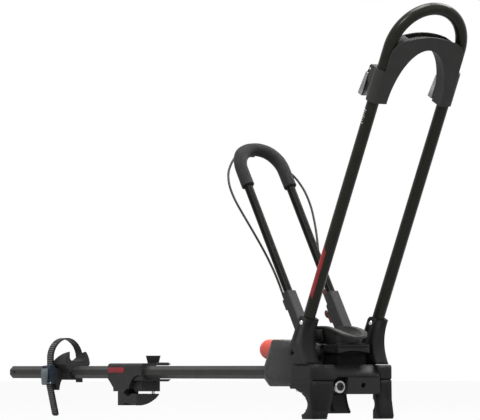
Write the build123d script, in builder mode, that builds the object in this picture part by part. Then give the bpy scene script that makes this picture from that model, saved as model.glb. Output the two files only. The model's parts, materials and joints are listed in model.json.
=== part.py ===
"""Roof mounted bike carrier: a tray on two roof crossbars, with a wheel clamped between two folding hoops.

Millimetres. +X points to the front of the vehicle, +Z up, and the near side is -Y.
The origin is the centre of the front crossbar's seat.
"""

import os
from math import acos, asin, atan2, cos, degrees, pi, radians, sin, sqrt, tan

from build123d import *

os.makedirs("parts", exist_ok=True)

# Driving dimensions

# Shared clearances
run_fit = 0.05  # radial gap of a turning or sliding shaft in its bore
slide_gap = 0.4  # gap of a part that slides along a tube or in a slot
seat_gap = 0.1  # gap of a fixed part in its seat
side_gap = 0.3  # gap between parts that turn beside each other
overrun = 5.0  # how far a cut runs past the face that it opens

# Crossbar seat in the feet
crossbar_d = 28.6
grip_gap = 0.1  # play of the crossbar in the seat before it is clamped
seat_angle = 62.0  # half the angle that the seat wraps
foot_pad_t = 2.2

# Head: where the hoops pivot, and the three storeys of the casting
pivot_x = -38.0
pivot_z = 110.0
axle_r = 6.0
axle_socket_r = 4.0
axle_socket_depth = 6.0
foot_inner_y = 70.0
foot_outer_y = 106.0
foot_bottom_z = -31.0
foot_ceiling_z = 33.5
parting_z = 52.0
deck_z = 85.0
head_rear_x = -53.0
head_front_x = 30.0
foot_toe_x = 38.0
foot_waist_x = 31.0
foot_lip_x = -7.7
foot_lip_z = -22.0
foot_edge_r = 3.0
foot_notch_r = 2.5
foot_seat_y = 86.0
foot_wall_x = 11.0

# Side castings
casting_edge_r = 6.0
lug_r = 14.0
lug_inner_y = 80.5
lug_outer_y = 103.5

# Centre housing
nose_half = 33.0
nose_rear_x = -250.0
nose_face_z = 84.0
nose_top_x = -221.0
nose_top_z = 140.0
nose_low_x = -232.0
nose_bottom_z = 38.0
nose_front_z = 128.0
nose_edge_r = 7.0
slab_bottom_z = 40.0
slope_top_x = 13.0
boss_half = 41.0
pillar_half = 36.0
pillar_rear_x = -22.0
pillar_front_x = 28.0
cradle_base_z = 114.6

# Cross member and tie bolt
member_front_x = 36.0
member_rear_x = 20.3
member_near_y = -14.0
member_bottom_z = 22.0
member_top_z = 58.5
member_edge_r = 2.0
lock_hole_r = 6.0
lock_hole_y = 27.0
lock_hole_z = 41.0
tie_bolt_y = -31.0
tie_bolt_z = 38.0
tie_collar_r = 13.5
tie_collar_bore_r = 9.0
tie_front_x = 31.0
tie_collar_t = 5.0
tie_shank_r = 6.0
tie_rear_x = -5.0
tie_boss_r = 12.5
hex_cap_flats = 15.0
hex_socket_flats = 8.0
hex_cap_t = 4.0
hex_socket_depth = 2.5

# Tray bar
bar_sides = 8
bar_flats = 28.6
bar_wall = 2.0
bar_z = 68.7
bar_rear_x = -1316.0
bar_front_x = -106.0
bar_hole_r = 3.0
bar_hole_inset = 18.0
cap_flange = 3.0
cap_plug = 16.0
cap_edge_r = 1.2
bar_screw_x = -190.0
bar_screw_r = 3.0
bar_screw_head_r = 5.5
bar_screw_head_t = 3.0

# Draw screw and tension knob
screw_z = 118.5
screw_r = 4.0
screw_front_x = -52.0
screw_pitch = 2.0
knob_r = 22.0
knob_gap = 0.6
knob_floor_x = -224.0
knob_tip_x = -298.0
knob_shoulder_x = -268.0
knob_socket_x = -262.0
knob_rib_count = 6
knob_rib_r = 3.0
collar_t = 1.2
collar_r = 7.0

# Front jaw
jaw_half = 26.0
jaw_back_x = -48.0
jaw_front_x = -24.0
jaw_mid_x = -18.0
jaw_mid_z = -1.0
jaw_toe_x = -9.0
jaw_toe_z = -16.0
jaw_bottom_z = -19.4
jaw_shoulder_z = 20.0
jaw_edge_r = 2.5
jaw_pad_half = 17.0
jaw_pad_t = 2.0
jaw_rib_count = 6
jaw_rib_r = 0.8
arm_half = 10.0
arm_x0 = -46.0
arm_x1 = -28.0
arm_knee_z = 62.0
arm_back_x = -84.0
arm_nut_x = -64.0
arm_shelf_z = 98.0
arm_top_z = 126.0
nut_r = 7.0
jaw_back_travel = 14.0
jaw_grip_travel = 3.0
cavity_gap = 2.0

# Wheel cradle
cradle_rear_x = -58.0
cradle_spout_x = 20.0
cradle_front_x = 56.0
cradle_mid_x = 10.0
cradle_rim_half = 41.0
cradle_rim_z = 168.0
cradle_mid_z = 162.5
cradle_lip_z = 144.5
cradle_rim_t = 5.0
cradle_rim_over = 2.0
cradle_waist_z = 129.0
cradle_waist_rear_x = -46.0
cradle_waist_spout_x = 14.0
cradle_waist_x = 33.0
cradle_neck_half = 33.0
cradle_foot_front_x = 39.5
cradle_foot_rear_x = -20.0
cradle_foot_top_z = 127.5
cradle_skirt_z = 109.5
tyre_r = 330.0
tyre_half = 28.0
trough_z = 140.0
trough_x = -8.0
trough_half_angle = 20.0
cradle_edge_r = 3.0
cradle_rib_count = 5
cradle_rib_w = 3.0
cradle_rib_depth = 2.0
cradle_rib_pitch = 8.0
cradle_screw_r = 3.0
cradle_screw_head_r = 6.0
cradle_screw_head_t = 2.5
cradle_screw_length = 26.0
cradle_screw_pitch = 24.0
flute_r = 2.0

# Tall hoop
tall_lean_angle = 27.1
tall_half = 92.0
tall_tube_r = 13.0
tall_wall = 2.0
tall_straight = 714.6
tall_start = 30.0

# Brackets of the tall hoop
bracket_inner_y = 76.0
bracket_outer_y = 108.0
cheek_t = 3.5
bracket_bottom_z = 85.7
bracket_heel_r = 16.0
bracket_front_x = 17.0
bracket_waist_x = 2.0
bracket_waist_z = 136.0
bracket_brow_x = 15.5
bracket_brow_z = 181.0
ear_r = 14.0
bracket_front_wall = 4.0
bracket_edge_r = 1.5
rivet_along = 72.7
rivet_r = 3.0
rivet_head_r = 5.0
rivet_head_t = 1.2

# Tyre bridge on the tall hoop
bridge_drop = 122.1  # from the bend's centre down to the bridge's lower end
sleeve_length = 73.5
sleeve_r = 17.0
bridge_height = 155.0
bridge_corner_drop = 9.0
bridge_corner_half = 58.0
bridge_shoulder_drop = 37.0
bridge_half_t = 13.0
bridge_half = 78.0
bridge_front_t = 4.2
bridge_front_half = 95.0
bridge_knee_half = 84.0
bridge_knee_drop = 21.5
bridge_front_shoulder_drop = 47.5
bridge_wall = 3.0
bridge_groove = 7.0
arch_half = 70.0
arch_rise = 126.0
bridge_edge_r = 1.2
cam_ahead = -27.0
cam_r = 8.0
cam_half = 7.5
cam_ear_t = 4.0
cam_drop = 60.6  # from the bend's centre down to the cams' pins
cam_boss_drop = 28.0
cam_boss_rise = 10.0
cam_pin_r = 2.5
lever_half = 9.5
lever_length = 64.0
lever_in_ahead = -31.5
lever_out_ahead = -38.0
lever_face_t = 2.4
lever_face_half = 8.0
lever_rib_count = 8
lever_edge_r = 1.5
shoe_half = 6.0
shoe_length = 14.0
shoe_face_ahead = -13.4

# Small hoop
small_lean_angle = 32.9
small_half = 56.7
small_tube_r = 9.5
small_wall = 2.0
small_straight = 478.0
small_start = 40.0
socket_half_y = 12.5
socket_boss_r = 16.0
socket_root_half = 13.5
socket_top_half = 12.0
socket_top = 158.0
socket_edge_r = 4.0
socket_pin_along = 120.0
socket_pin_r = 2.5
pad_r = 14.5
pad_drop = 43.0  # from the bend's centre down to the pad's ends

# Release trigger behind the small hoop's bend
housing_ahead = -21.0
housing_rise = 12.0
housing_radial = 14.0
housing_depth = 12.0
housing_angle = 18.0
housing_edge_r = 3.0
trigger_half = 12.0
trigger_low_rise = 53.0  # from the bend's centre up to the trigger's lower edge
trigger_high_rise = 65.0
trigger_t = 6.0
trigger_travel = 6.0
trigger_edge_r = 2.0

# Release cables, in the small hoop's own plane: outward, along, forward
cable_r = 2.5
cable_lead = 8.0
near_cable_route = [
    (43.0, 529.0, -21.0),
    (62.0, 510.0, -20.0),
    (83.0, 482.0, -17.0),
    (95.5, 446.0, -14.2),
    (96.0, 405.0, -12.7),
    (87.5, 361.0, -12.2),
    (76.5, 313.0, -13.0),
    (65.5, 267.0, -15.5),
    (57.0, 218.0, -19.0),
]
far_cable_route = [
    (43.0, 530.0, -21.0),
    (66.0, 509.0, -20.0),
    (94.0, 480.0, -17.0),
    (105.0, 438.0, -14.0),
    (104.5, 392.0, -12.7),
    (94.0, 334.0, -12.7),
    (79.0, 276.0, -14.5),
    (61.0, 220.0, -18.5),
    (57.0, 198.0, -19.5),
]

# Cable ends and the far socket's pawl
cable_end_ahead = -19.5
cable_end_y = 57.0
cable_end_along = 177.0
stop_r = 4.6
far_stop_low = 137.0
near_stop_low = 150.0
near_tab_low = 121.0
stop_foot_half = 4.0
pawl_half = 9.0
pawl_low = 62.0
pawl_high = 133.0
pawl_ahead = -21.0
pawl_slot_half = 5.3
pawl_edge_r = 2.0
thumb_along = 107.0
thumb_r = 14.0
thumb_ahead = -19.0
thumb_half = 5.0
thumb_pivot_along = 122.0
thumb_pivot_ahead = -17.0
thumb_pin_r = 1.6
thumb_slot_ahead = -15.0

# Rear clamp
clamp_x = -790.0
clamp_back = 100.0
clamp_reach = 41.0
clamp_half = 20.4
clamp_edge_r = 8.0
channel_y = 60.0
channel_back = 46.0
channel_top_z = 88.6
channel_bottom_z = 50.0
channel_t = 3.0
upper_jaw_back = 55.0
upper_jaw_reach = 25.0
upper_jaw_far_y = 42.0
funnel_step = 19.0
clamp_hollow_reach = 30.0
clamp_hollow_z = 20.0
clamp_hollow_r = 42.0
clamp_hollow_depth = 4.0
clamp_hollow_deep = 12.4
upper_jaw_z = 25.0
spine_back = 31.0
spine_bottom_z = -7.0
rear_seat_back = 14.0
rear_seat_depth = 6.0
rear_seat_half = 12.0
lower_jaw_top_z = 19.5
lower_jaw_reach = 21.0
lower_jaw_belly_z = -4.0
lower_jaw_belly_y = 8.0
lower_jaw_toe_z = -7.0
lower_jaw_heel_z = -0.6
lower_jaw_tip_z = 17.0
rear_jaw_travel = 16.0
tongue_half = 6.0
tongue_depth = 8.0
rod_reach = 10.0
rod_y = 34.0
rod_r = 4.0
rod_top_z = 103.0
rod_nut_flats = 13.0
rod_nut_t = 6.5
rod_nut_top_z = 14.0
clamp_knob_r = 13.9  # reach of the lobes at the knob's foot
clamp_knob_hub_r = 8.5
clamp_knob_lobe_r = 5.0
clamp_knob_top_z = 106.5
clamp_knob_neck_r = 7.0
clamp_knob_neck_z = 79.0
clamp_knob_lobes = 3
clamp_knob_taper = -14.0
rear_rod_pitch = 1.25
rear_pad_t = 2.0

# Wheel chock, strap and buckle
chock_x = -1100.0
chock_half_x = 48.0
chock_half = 18.0
chock_edge_r = 4.0
chock_slot_gap = 0.4
fin_back = 4.0
fin_reach = 54.0
fin_foot_z = 88.0
fin_floor_half = 14.0
fin_floor_z = 94.5
fin_curb_y = 18.5
fin_curb_z = 97.5
fin_wall_z = 104.0
fin_peak_y = 21.0
fin_peak_z = 116.0
fin_rim = 3.0
fin_cheek_y = 30.0
fin_cheek_z = 106.0
fin_base_y = 34.5
fin_crest_back = 37.0
fin_crest_z = 104.0
fin_wall = 3.0
strap_width = 25.0
strap_t = 3.0
strap_half = 40.0
strap_spring_z = 102.0
strap_top_z = 147.0
strap_crown_r = 34.0
strap_anchor_z = 58.0
strap_tail = [(-40.0, 84.0), (-45.0, 52.0), (-25.0, -33.0)]
strap_bend_r = 30.0
rung_count = 26
rung_pitch = 4.0
rung_t = 1.2
rung_width = 19.0
arm_length_x = 30.0
arm_top_chock_z = 79.0
arm_bottom_chock_z = 56.0
anchor_screw_r = 2.5
anchor_head_r = 5.0
anchor_head_t = 2.0
buckle_half_x = 17.0
buckle_outer_y = -53.0
buckle_top_z = 85.0
buckle_bottom_z = 40.0
buckle_edge_r = 2.0
gusset_bottom_z = 27.0
buckle_lever_half_x = 11.0
buckle_lever_out_y = -61.0
buckle_lever_in_y = -53.6
buckle_lever_top_z = 77.0
buckle_lever_bottom_z = 38.7
buckle_pivot_y = -51.0
buckle_pivot_z = 44.0
buckle_pin_r = 1.8
buckle_hub_r = 4.0

# Fasteners
foot_bolt_r = 4.0
foot_bolt_head_r = 7.0
foot_bolt_head_t = 6.0
foot_bolt_rear_x = -40.0
foot_bolt_front_x = 27.0
foot_bolt_grip = 22.0
foot_bolt_front_z = 30.0

# Derived sizes
seat_r = crossbar_d / 2 + grip_gap
pad_back_r = seat_r + foot_pad_t
foot_mid_y = (foot_inner_y + foot_outer_y) / 2
foot_width = foot_outer_y - foot_inner_y
cheek_in_y = bracket_inner_y + cheek_t
cheek_out_y = bracket_outer_y - cheek_t
both_sides = (-1, 1)

# Stations of the pad and the trigger along the small hoop's legs
pad_start = small_straight - pad_drop
housing_r = small_half + housing_rise
trigger_out = small_straight + trigger_low_rise
trigger_in = small_straight + trigger_high_rise

# Stations of the bridge along the tall hoop's legs
bridge_bottom = tall_straight - bridge_drop
sleeve_top = bridge_bottom + sleeve_length
bridge_top = bridge_bottom + bridge_height
bridge_corner = bridge_top - bridge_corner_drop
bridge_shoulder = bridge_top - bridge_shoulder_drop
bridge_ahead = tall_tube_r + slide_gap + seat_gap
cam_along = tall_straight - cam_drop
cam_boss_bottom = cam_along - cam_boss_drop
cam_boss_top = cam_along + cam_boss_rise
lever_tip = cam_along - lever_length

# Stations of the rear clamp and the chock along the tray bar
clamp_rear_x = clamp_x - clamp_back
clamp_front_x = clamp_x + clamp_reach
channel_rear_x = clamp_x - channel_back
upper_jaw_rear_x = clamp_x - upper_jaw_back
clamp_hollow_x = clamp_x + clamp_hollow_reach
upper_jaw_front_x = clamp_x + upper_jaw_reach
spine_front_x = clamp_x - spine_back
rear_seat_x = clamp_x - rear_seat_back
lower_jaw_front_x = clamp_x + lower_jaw_reach
rod_x = clamp_x + rod_reach
chock_rear_x = chock_x - chock_half_x
chock_front_x = chock_x + chock_half_x
fin_rear_x = chock_x - fin_back
fin_front_x = chock_x + fin_reach


def side_plane(y):
    """The vertical plane at y, drawn in X and Z and facing the near side."""
    return Plane(origin=(0, y, 0), x_dir=(1, 0, 0), z_dir=(0, -1, 0))


def hoop_plane(lean, n=0.0):
    """A hoop's own plane, drawn in Y and along the legs; lean is forward from upright, n ahead of the axle."""
    forward = Vector(cos(radians(lean)), 0, -sin(radians(lean)))
    pivot = Vector(pivot_x, 0, pivot_z)
    return Plane(origin=pivot + forward * n, x_dir=(0, 1, 0), z_dir=forward)


def hoop_side(lean, y):
    """The plane at y that is drawn ahead of a hoop (first) and along it (second), facing the near side."""
    forward = Vector(cos(radians(lean)), 0, -sin(radians(lean)))
    return Plane(origin=(pivot_x, y, pivot_z), x_dir=forward, z_dir=(0, -1, 0))


def across_leg(lean, y, along, n=0.0):
    """A plane square to a hoop's leg, drawn outward in Y (first) and backward (second)."""
    plane = hoop_plane(lean)
    return Plane(origin=plane.from_local_coords((y, along, n)), x_dir=(0, 1, 0), z_dir=plane.y_dir)


def save(built, node):
    """Label a finished piece and write it under its node's name."""
    built.part.label = node
    export_step(built.part, f"parts/{node}.step")


def hoop_line(half, start, straight):
    """One leg up, round the bend and down the other leg, on the current plane."""
    Line((half, start), (half, straight))
    CenterArc((0, straight), half, 0, 180)
    Line((-half, straight), (-half, start))


# Tray bar and its end cap

with BuildPart() as tray_bar:
    with BuildSketch(Plane.YZ.offset(bar_rear_x)):
        with Locations((0, bar_z)):
            RegularPolygon(bar_flats / 2, bar_sides, major_radius=False, rotation=180 / bar_sides)
            RegularPolygon(
                bar_flats / 2 - bar_wall,
                bar_sides,
                major_radius=False,
                rotation=180 / bar_sides,
                mode=Mode.SUBTRACT,
            )
    extrude(amount=bar_front_x - bar_rear_x)
    with Locations(Plane.XZ * Location((bar_rear_x + bar_hole_inset, bar_z, 0))):
        Cylinder(bar_hole_r, bar_flats + overrun, mode=Mode.SUBTRACT)
    with Locations((bar_screw_x, 0, bar_z - bar_flats / 2)):
        Cylinder(bar_screw_r + seat_gap, 2 * bar_wall + overrun, mode=Mode.SUBTRACT)
save(tray_bar, "tray_bar")

with BuildPart() as bar_end_cap:
    with BuildSketch(Plane.YZ.offset(bar_rear_x - cap_flange)):
        with Locations((0, bar_z)):
            RegularPolygon(bar_flats / 2, bar_sides, major_radius=False, rotation=180 / bar_sides)
    extrude(amount=cap_flange)
    chamfer(bar_end_cap.faces().sort_by(Axis.X)[0].edges(), cap_edge_r)
    with BuildSketch(Plane.YZ.offset(bar_rear_x)):
        with Locations((0, bar_z)):
            RegularPolygon(
                bar_flats / 2 - bar_wall - seat_gap,
                bar_sides,
                major_radius=False,
                rotation=180 / bar_sides,
            )
            Circle(bar_flats / 2 - 3 * bar_wall, mode=Mode.SUBTRACT)
    extrude(amount=cap_plug - cap_flange)
    with Locations(Plane.XZ * Location((bar_rear_x + bar_hole_inset, bar_z, 0))):
        Cylinder(bar_hole_r + side_gap, bar_flats + overrun, mode=Mode.SUBTRACT)
save(bar_end_cap, "bar_end_cap")

# Head: centre housing with the nose, the deck slab, the axle boss and the cradle's pillar

slope_bottom_z = member_top_z + seat_gap
cavity_half = arm_half + cavity_gap
cavity_rear_x = arm_back_x - jaw_back_travel - cavity_gap
bar_socket_x = bar_front_x + seat_gap

with BuildPart() as head_housing:
    with BuildSketch(Plane.XZ):
        with BuildLine():
            Polyline(
                (nose_low_x, nose_bottom_z),
                (nose_rear_x, parting_z),
                (nose_rear_x, nose_face_z),
                (nose_top_x, nose_top_z),
                (pivot_x, nose_front_z),
                (pillar_rear_x, cradle_base_z),
                (pillar_rear_x, nose_bottom_z),
                close=True,
            )
        make_face()
    extrude(amount=nose_half, both=True)
    nose_edges = head_housing.edges().filter_by(Plane.XZ).group_by(Axis.Y)
    fillet(
        (nose_edges[0] + nose_edges[-1]).filter_by(lambda e: e.center().X < head_rear_x - nose_half),
        nose_edge_r,
    )
    with BuildSketch(Plane.XZ):
        with BuildLine():
            Polyline(
                (head_rear_x, slab_bottom_z),
                (head_rear_x, deck_z),
                (slope_top_x, deck_z),
                (member_front_x, slope_bottom_z),
                (member_rear_x - seat_gap, slope_bottom_z),
                (member_rear_x - seat_gap, slab_bottom_z),
                close=True,
            )
        make_face()
    extrude(amount=foot_inner_y - seat_gap, both=True)
    with BuildSketch(Plane.XY.offset(deck_z)):
        with Locations(((pillar_rear_x + pillar_front_x) / 2, 0)):
            Rectangle(pillar_front_x - pillar_rear_x, 2 * pillar_half)
    extrude(amount=cradle_base_z - deck_z)
    with BuildSketch(Plane.XZ):
        with Locations((pivot_x, pivot_z)):
            Circle(lug_r)
        with Locations((pivot_x, (pivot_z + deck_z) / 2)):
            Rectangle(2 * lug_r, pivot_z - deck_z)
    extrude(amount=boss_half, both=True)
    with BuildSketch(Plane.YZ.offset(tie_rear_x)):
        with Locations((tie_bolt_y, tie_bolt_z)):
            Circle(tie_boss_r)
    extrude(amount=tie_front_x - tie_collar_t - seat_gap - tie_rear_x)
    # Bore of the tie bolt
    with BuildSketch(Plane.YZ.offset(tie_rear_x)):
        with Locations((tie_bolt_y, tie_bolt_z)):
            Circle(tie_shank_r + seat_gap)
    extrude(amount=tie_front_x - tie_rear_x, mode=Mode.SUBTRACT)
    # Socket of the tray bar
    with BuildSketch(Plane.YZ.offset(bar_socket_x)):
        with Locations((0, bar_z)):
            RegularPolygon(
                bar_flats / 2 + seat_gap, bar_sides, major_radius=False, rotation=180 / bar_sides
            )
    extrude(amount=nose_rear_x - overrun - bar_socket_x, mode=Mode.SUBTRACT)
    with Locations((bar_screw_x, 0, nose_bottom_z)):
        Cylinder(bar_screw_r + seat_gap, bar_z, mode=Mode.SUBTRACT)
        Cylinder(bar_screw_head_r + seat_gap, 2 * bar_screw_head_t, mode=Mode.SUBTRACT)
    # Recess of the knob, bore of the draw screw and cavity of the jaw's arm
    with BuildSketch(Plane.YZ.offset(knob_floor_x)):
        with Locations((0, screw_z)):
            Circle(knob_r + knob_gap)
    extrude(amount=nose_rear_x - overrun - knob_floor_x, mode=Mode.SUBTRACT)
    with BuildSketch(Plane.YZ.offset(nose_rear_x)):
        with Locations((0, screw_z)):
            Circle(screw_r + run_fit)
    extrude(amount=cavity_rear_x - nose_rear_x + overrun, mode=Mode.SUBTRACT)
    with BuildSketch(Plane.XZ):
        with BuildLine():
            Polyline(
                (jaw_back_x - jaw_back_travel, nose_bottom_z - overrun),
                (jaw_back_x - jaw_back_travel - cavity_gap, arm_knee_z - cavity_gap),
                (cavity_rear_x, arm_shelf_z - cavity_gap),
                (cavity_rear_x, arm_top_z + cavity_gap / 2),
                (pivot_x - axle_r, arm_top_z + cavity_gap / 2),
                (pivot_x - axle_r, arm_shelf_z - cavity_gap),
                (arm_x1 + jaw_grip_travel + cavity_gap, arm_knee_z + cavity_gap),
                (arm_x1 + jaw_grip_travel + cavity_gap, nose_bottom_z - overrun),
                close=True,
            )
        make_face()
    extrude(amount=cavity_half, both=True, mode=Mode.SUBTRACT)
    # Bore of the axle
    with BuildSketch(Plane.XZ):
        with Locations((pivot_x, pivot_z)):
            Circle(axle_r + run_fit)
    extrude(amount=boss_half + overrun, both=True, mode=Mode.SUBTRACT)
    # Room for the front jaw under the nose
    with BuildSketch(Plane.XY.offset(slab_bottom_z)):
        with Locations(((jaw_back_x - jaw_back_travel - overrun + pillar_rear_x) / 2, 0)):
            Rectangle(pillar_rear_x - jaw_back_x + jaw_back_travel + overrun, 2 * nose_half)
    extrude(amount=-overrun, mode=Mode.SUBTRACT)
    # Screw holes of the cradle
    with Locations(*[(trough_x + k * cradle_screw_pitch / 2, 0, cradle_base_z) for k in both_sides]):
        Cylinder(cradle_screw_r, 2 * cradle_screw_length, mode=Mode.SUBTRACT)
save(head_housing, "head_housing")

with BuildPart() as bar_screw:
    with BuildSketch(Plane.XY.offset(nose_bottom_z)):
        with Locations((bar_screw_x, 0)):
            Circle(bar_screw_head_r)
    extrude(amount=bar_screw_head_t)
    with BuildSketch(Plane.XY.offset(nose_bottom_z)):
        with Locations((bar_screw_x, 0)):
            Circle(bar_screw_r)
    extrude(amount=bar_z - bar_flats / 2 + 2 * bar_wall - nose_bottom_z)
    with BuildSketch(Plane.XY.offset(nose_bottom_z)):
        with Locations((bar_screw_x, 0)):
            RegularPolygon(bar_screw_r, 6)
    extrude(amount=bar_screw_head_t / 2, mode=Mode.SUBTRACT)
save(bar_screw, "bar_screw")

# Side castings with the lugs that carry the axle


def side_casting(side):
    """The casting over one foot, with its lug round the hoops' axle."""
    inner, outer = side * foot_inner_y, side * foot_outer_y
    with BuildPart() as casting:
        with BuildSketch(side_plane(max(inner, outer))) as outline:
            with BuildLine():
                Polyline(
                    (head_rear_x, parting_z),
                    (head_rear_x, deck_z),
                    (head_front_x, deck_z),
                    (head_front_x, parting_z),
                    close=True,
                )
            make_face()
            fillet(outline.vertices().group_by(Axis.Z)[-1], casting_edge_r)
        extrude(amount=foot_width)
        with BuildSketch(side_plane(side * lug_outer_y if side > 0 else -lug_inner_y)):
            with Locations((pivot_x, pivot_z)):
                Circle(lug_r)
            with Locations((pivot_x, (pivot_z + deck_z) / 2)):
                Rectangle(2 * lug_r, pivot_z - deck_z)
        extrude(amount=lug_outer_y - lug_inner_y)
        with Locations(side_plane(0) * Location((pivot_x, pivot_z, 0))):
            Cylinder(axle_r + run_fit, 2 * bracket_outer_y, mode=Mode.SUBTRACT)
        with Locations(
            *[(x, side * foot_mid_y, parting_z) for x in (foot_bolt_rear_x, foot_bolt_front_x - lug_r / 2)]
        ):
            Cylinder(foot_bolt_r + seat_gap, 2 * foot_bolt_grip, mode=Mode.SUBTRACT)
    return casting


for side, name in zip(both_sides, ("near_side_casting", "far_side_casting")):
    save(side_casting(side), name)

# Feet that hook over the crossbar, and the rubber in their seats


def foot(side):
    """One foot: a deep hook whose seat opens to the rear."""
    arc_start = Vector(pad_back_r * cos(radians(seat_angle)), pad_back_r * sin(radians(seat_angle)))
    with BuildPart() as hook:
        with BuildSketch(side_plane(foot_outer_y if side > 0 else -foot_inner_y)) as outline:
            with BuildLine():
                Polyline(
                    (arc_start.X, arc_start.Y),
                    (foot_lip_x, (foot_ceiling_z + arc_start.Y) / 2),
                    (pivot_x + lug_r / 2, foot_ceiling_z),
                    (head_rear_x + casting_edge_r, foot_ceiling_z),
                    (head_rear_x, foot_ceiling_z + casting_edge_r),
                    (head_rear_x, parting_z),
                    (head_front_x, parting_z),
                    (foot_waist_x, (parting_z + foot_bottom_z) / 2),
                    (foot_toe_x, foot_bottom_z + casting_edge_r),
                    (foot_toe_x - foot_edge_r, foot_bottom_z),
                    (foot_lip_x + foot_edge_r, foot_bottom_z),
                    (foot_lip_x, foot_lip_z),
                    (arc_start.X, -arc_start.Y),
                )
                CenterArc((0, 0), pad_back_r, -seat_angle, 2 * seat_angle)
            make_face()
            with Locations(
                (foot_lip_x, (foot_ceiling_z + arc_start.Y) / 2), (0, -(pad_back_r + foot_notch_r / 2))
            ):
                Circle(foot_notch_r, mode=Mode.SUBTRACT)
        extrude(amount=foot_width)
        fillet(
            hook.edges().filter_by(Axis.Z).sort_by(Axis.X)[-2:],
            foot_edge_r,
        )
        # The seat and its lip reach over the outer part alone
        with BuildSketch(Plane.XY.offset(foot_bottom_z - overrun)):
            with Locations(((head_rear_x + foot_wall_x) / 2, side * (foot_inner_y + foot_seat_y) / 2)):
                Rectangle(foot_wall_x - head_rear_x, foot_seat_y - foot_inner_y)
            with Locations(((head_rear_x + foot_wall_x) / 2, side * foot_inner_y)):
                Rectangle(foot_wall_x - head_rear_x, 2 * foot_edge_r)
        extrude(amount=foot_ceiling_z - foot_bottom_z + overrun, mode=Mode.SUBTRACT)
        y = side * foot_mid_y
        with Locations((foot_bolt_rear_x, y, foot_ceiling_z)):
            Cylinder(foot_bolt_r + seat_gap, 2 * parting_z, mode=Mode.SUBTRACT)
        with Locations((foot_bolt_front_x - lug_r / 2, y, 0)):
            Cylinder(foot_bolt_r + seat_gap, 4 * parting_z, mode=Mode.SUBTRACT)
        with BuildSketch(Plane.XY.offset(foot_bolt_front_z)):
            with Locations((foot_bolt_front_x - lug_r / 2, y)):
                Circle(foot_bolt_head_r + seat_gap)
        extrude(amount=foot_bottom_z - foot_bolt_front_z - overrun, mode=Mode.SUBTRACT)
    return hook


for side, name in zip(both_sides, ("near_foot", "far_foot")):
    save(foot(side), name)

with BuildPart() as foot_pads:
    for y in (foot_outer_y, -foot_seat_y):
        with BuildSketch(side_plane(y)):
            with BuildLine():
                CenterArc((0, 0), pad_back_r, -seat_angle, 2 * seat_angle)
                CenterArc((0, 0), seat_r, -seat_angle, 2 * seat_angle)
                for end in both_sides:
                    Line(
                        PolarLine((0, 0), seat_r, end * seat_angle, mode=Mode.PRIVATE) @ 1,
                        PolarLine((0, 0), pad_back_r, end * seat_angle, mode=Mode.PRIVATE) @ 1,
                    )
            make_face()
        extrude(amount=foot_outer_y - foot_seat_y)
save(foot_pads, "foot_pads")

with BuildPart() as foot_bolts:
    for side in both_sides:
        for x, z in (
            (foot_bolt_rear_x, foot_ceiling_z),
            (foot_bolt_front_x - lug_r / 2, foot_bolt_front_z),
        ):
            with BuildSketch(Plane.XY.offset(z)):
                with Locations((x, side * foot_mid_y)):
                    RegularPolygon(foot_bolt_head_r, 6)
            extrude(amount=-foot_bolt_head_t)
            with BuildSketch(Plane.XY.offset(z)):
                with Locations((x, side * foot_mid_y)):
                    Circle(foot_bolt_r)
            extrude(amount=parting_z + foot_bolt_grip - z)
save(foot_bolts, "foot_bolts")

# Front cross member and tie bolt

with BuildPart() as front_crossmember:
    with BuildSketch(Plane.XZ.offset(-foot_inner_y)):
        with Locations(((member_front_x + member_rear_x) / 2, (member_top_z + member_bottom_z) / 2)):
            Rectangle(member_front_x - member_rear_x, member_top_z - member_bottom_z)
    extrude(amount=foot_inner_y - member_near_y)
    fillet(front_crossmember.edges().filter_by(Axis.Y), member_edge_r)
    with BuildSketch(Plane.YZ.offset(member_rear_x - overrun)):
        with Locations((lock_hole_y, lock_hole_z)):
            Circle(lock_hole_r)
    extrude(amount=member_front_x - member_rear_x + 2 * overrun, mode=Mode.SUBTRACT)
save(front_crossmember, "front_crossmember")

with BuildPart() as tie_bolt:
    with BuildSketch(Plane.YZ.offset(tie_rear_x)):
        with Locations((tie_bolt_y, tie_bolt_z)):
            Circle(tie_shank_r)
    extrude(amount=tie_front_x - tie_collar_t - tie_rear_x)
    with BuildSketch(Plane.YZ.offset(tie_front_x - tie_collar_t)):
        with Locations((tie_bolt_y, tie_bolt_z)):
            Circle(tie_collar_r)
    extrude(amount=tie_collar_t)
    chamfer(tie_bolt.faces().sort_by(Axis.X)[-1].edges(), tie_collar_t / 4)
    with BuildSketch(Plane.YZ.offset(tie_front_x)):
        with Locations((tie_bolt_y, tie_bolt_z)):
            Circle(tie_collar_bore_r)
    extrude(amount=-hex_cap_t, mode=Mode.SUBTRACT)
save(tie_bolt, "tie_bolt")

with BuildPart() as tie_bolt_cap:
    with BuildSketch(Plane.YZ.offset(tie_front_x - hex_cap_t)):
        with Locations((tie_bolt_y, tie_bolt_z)):
            Circle(tie_collar_bore_r - seat_gap)
    extrude(amount=hex_cap_t / 2)
    with BuildSketch(Plane.YZ.offset(tie_front_x - hex_cap_t / 2)):
        with Locations((tie_bolt_y, tie_bolt_z)):
            RegularPolygon(hex_cap_flats / 2, 6, major_radius=False)
    extrude(amount=hex_cap_t)
    with BuildSketch(Plane.YZ.offset(tie_front_x + hex_cap_t / 2)):
        with Locations((tie_bolt_y, tie_bolt_z)):
            RegularPolygon(hex_socket_flats / 2, 6, major_radius=False)
    extrude(amount=-hex_socket_depth, mode=Mode.SUBTRACT)
save(tie_bolt_cap, "tie_bolt_cap")

# Axle that both hoops turn on, and the spacers along it

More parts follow.
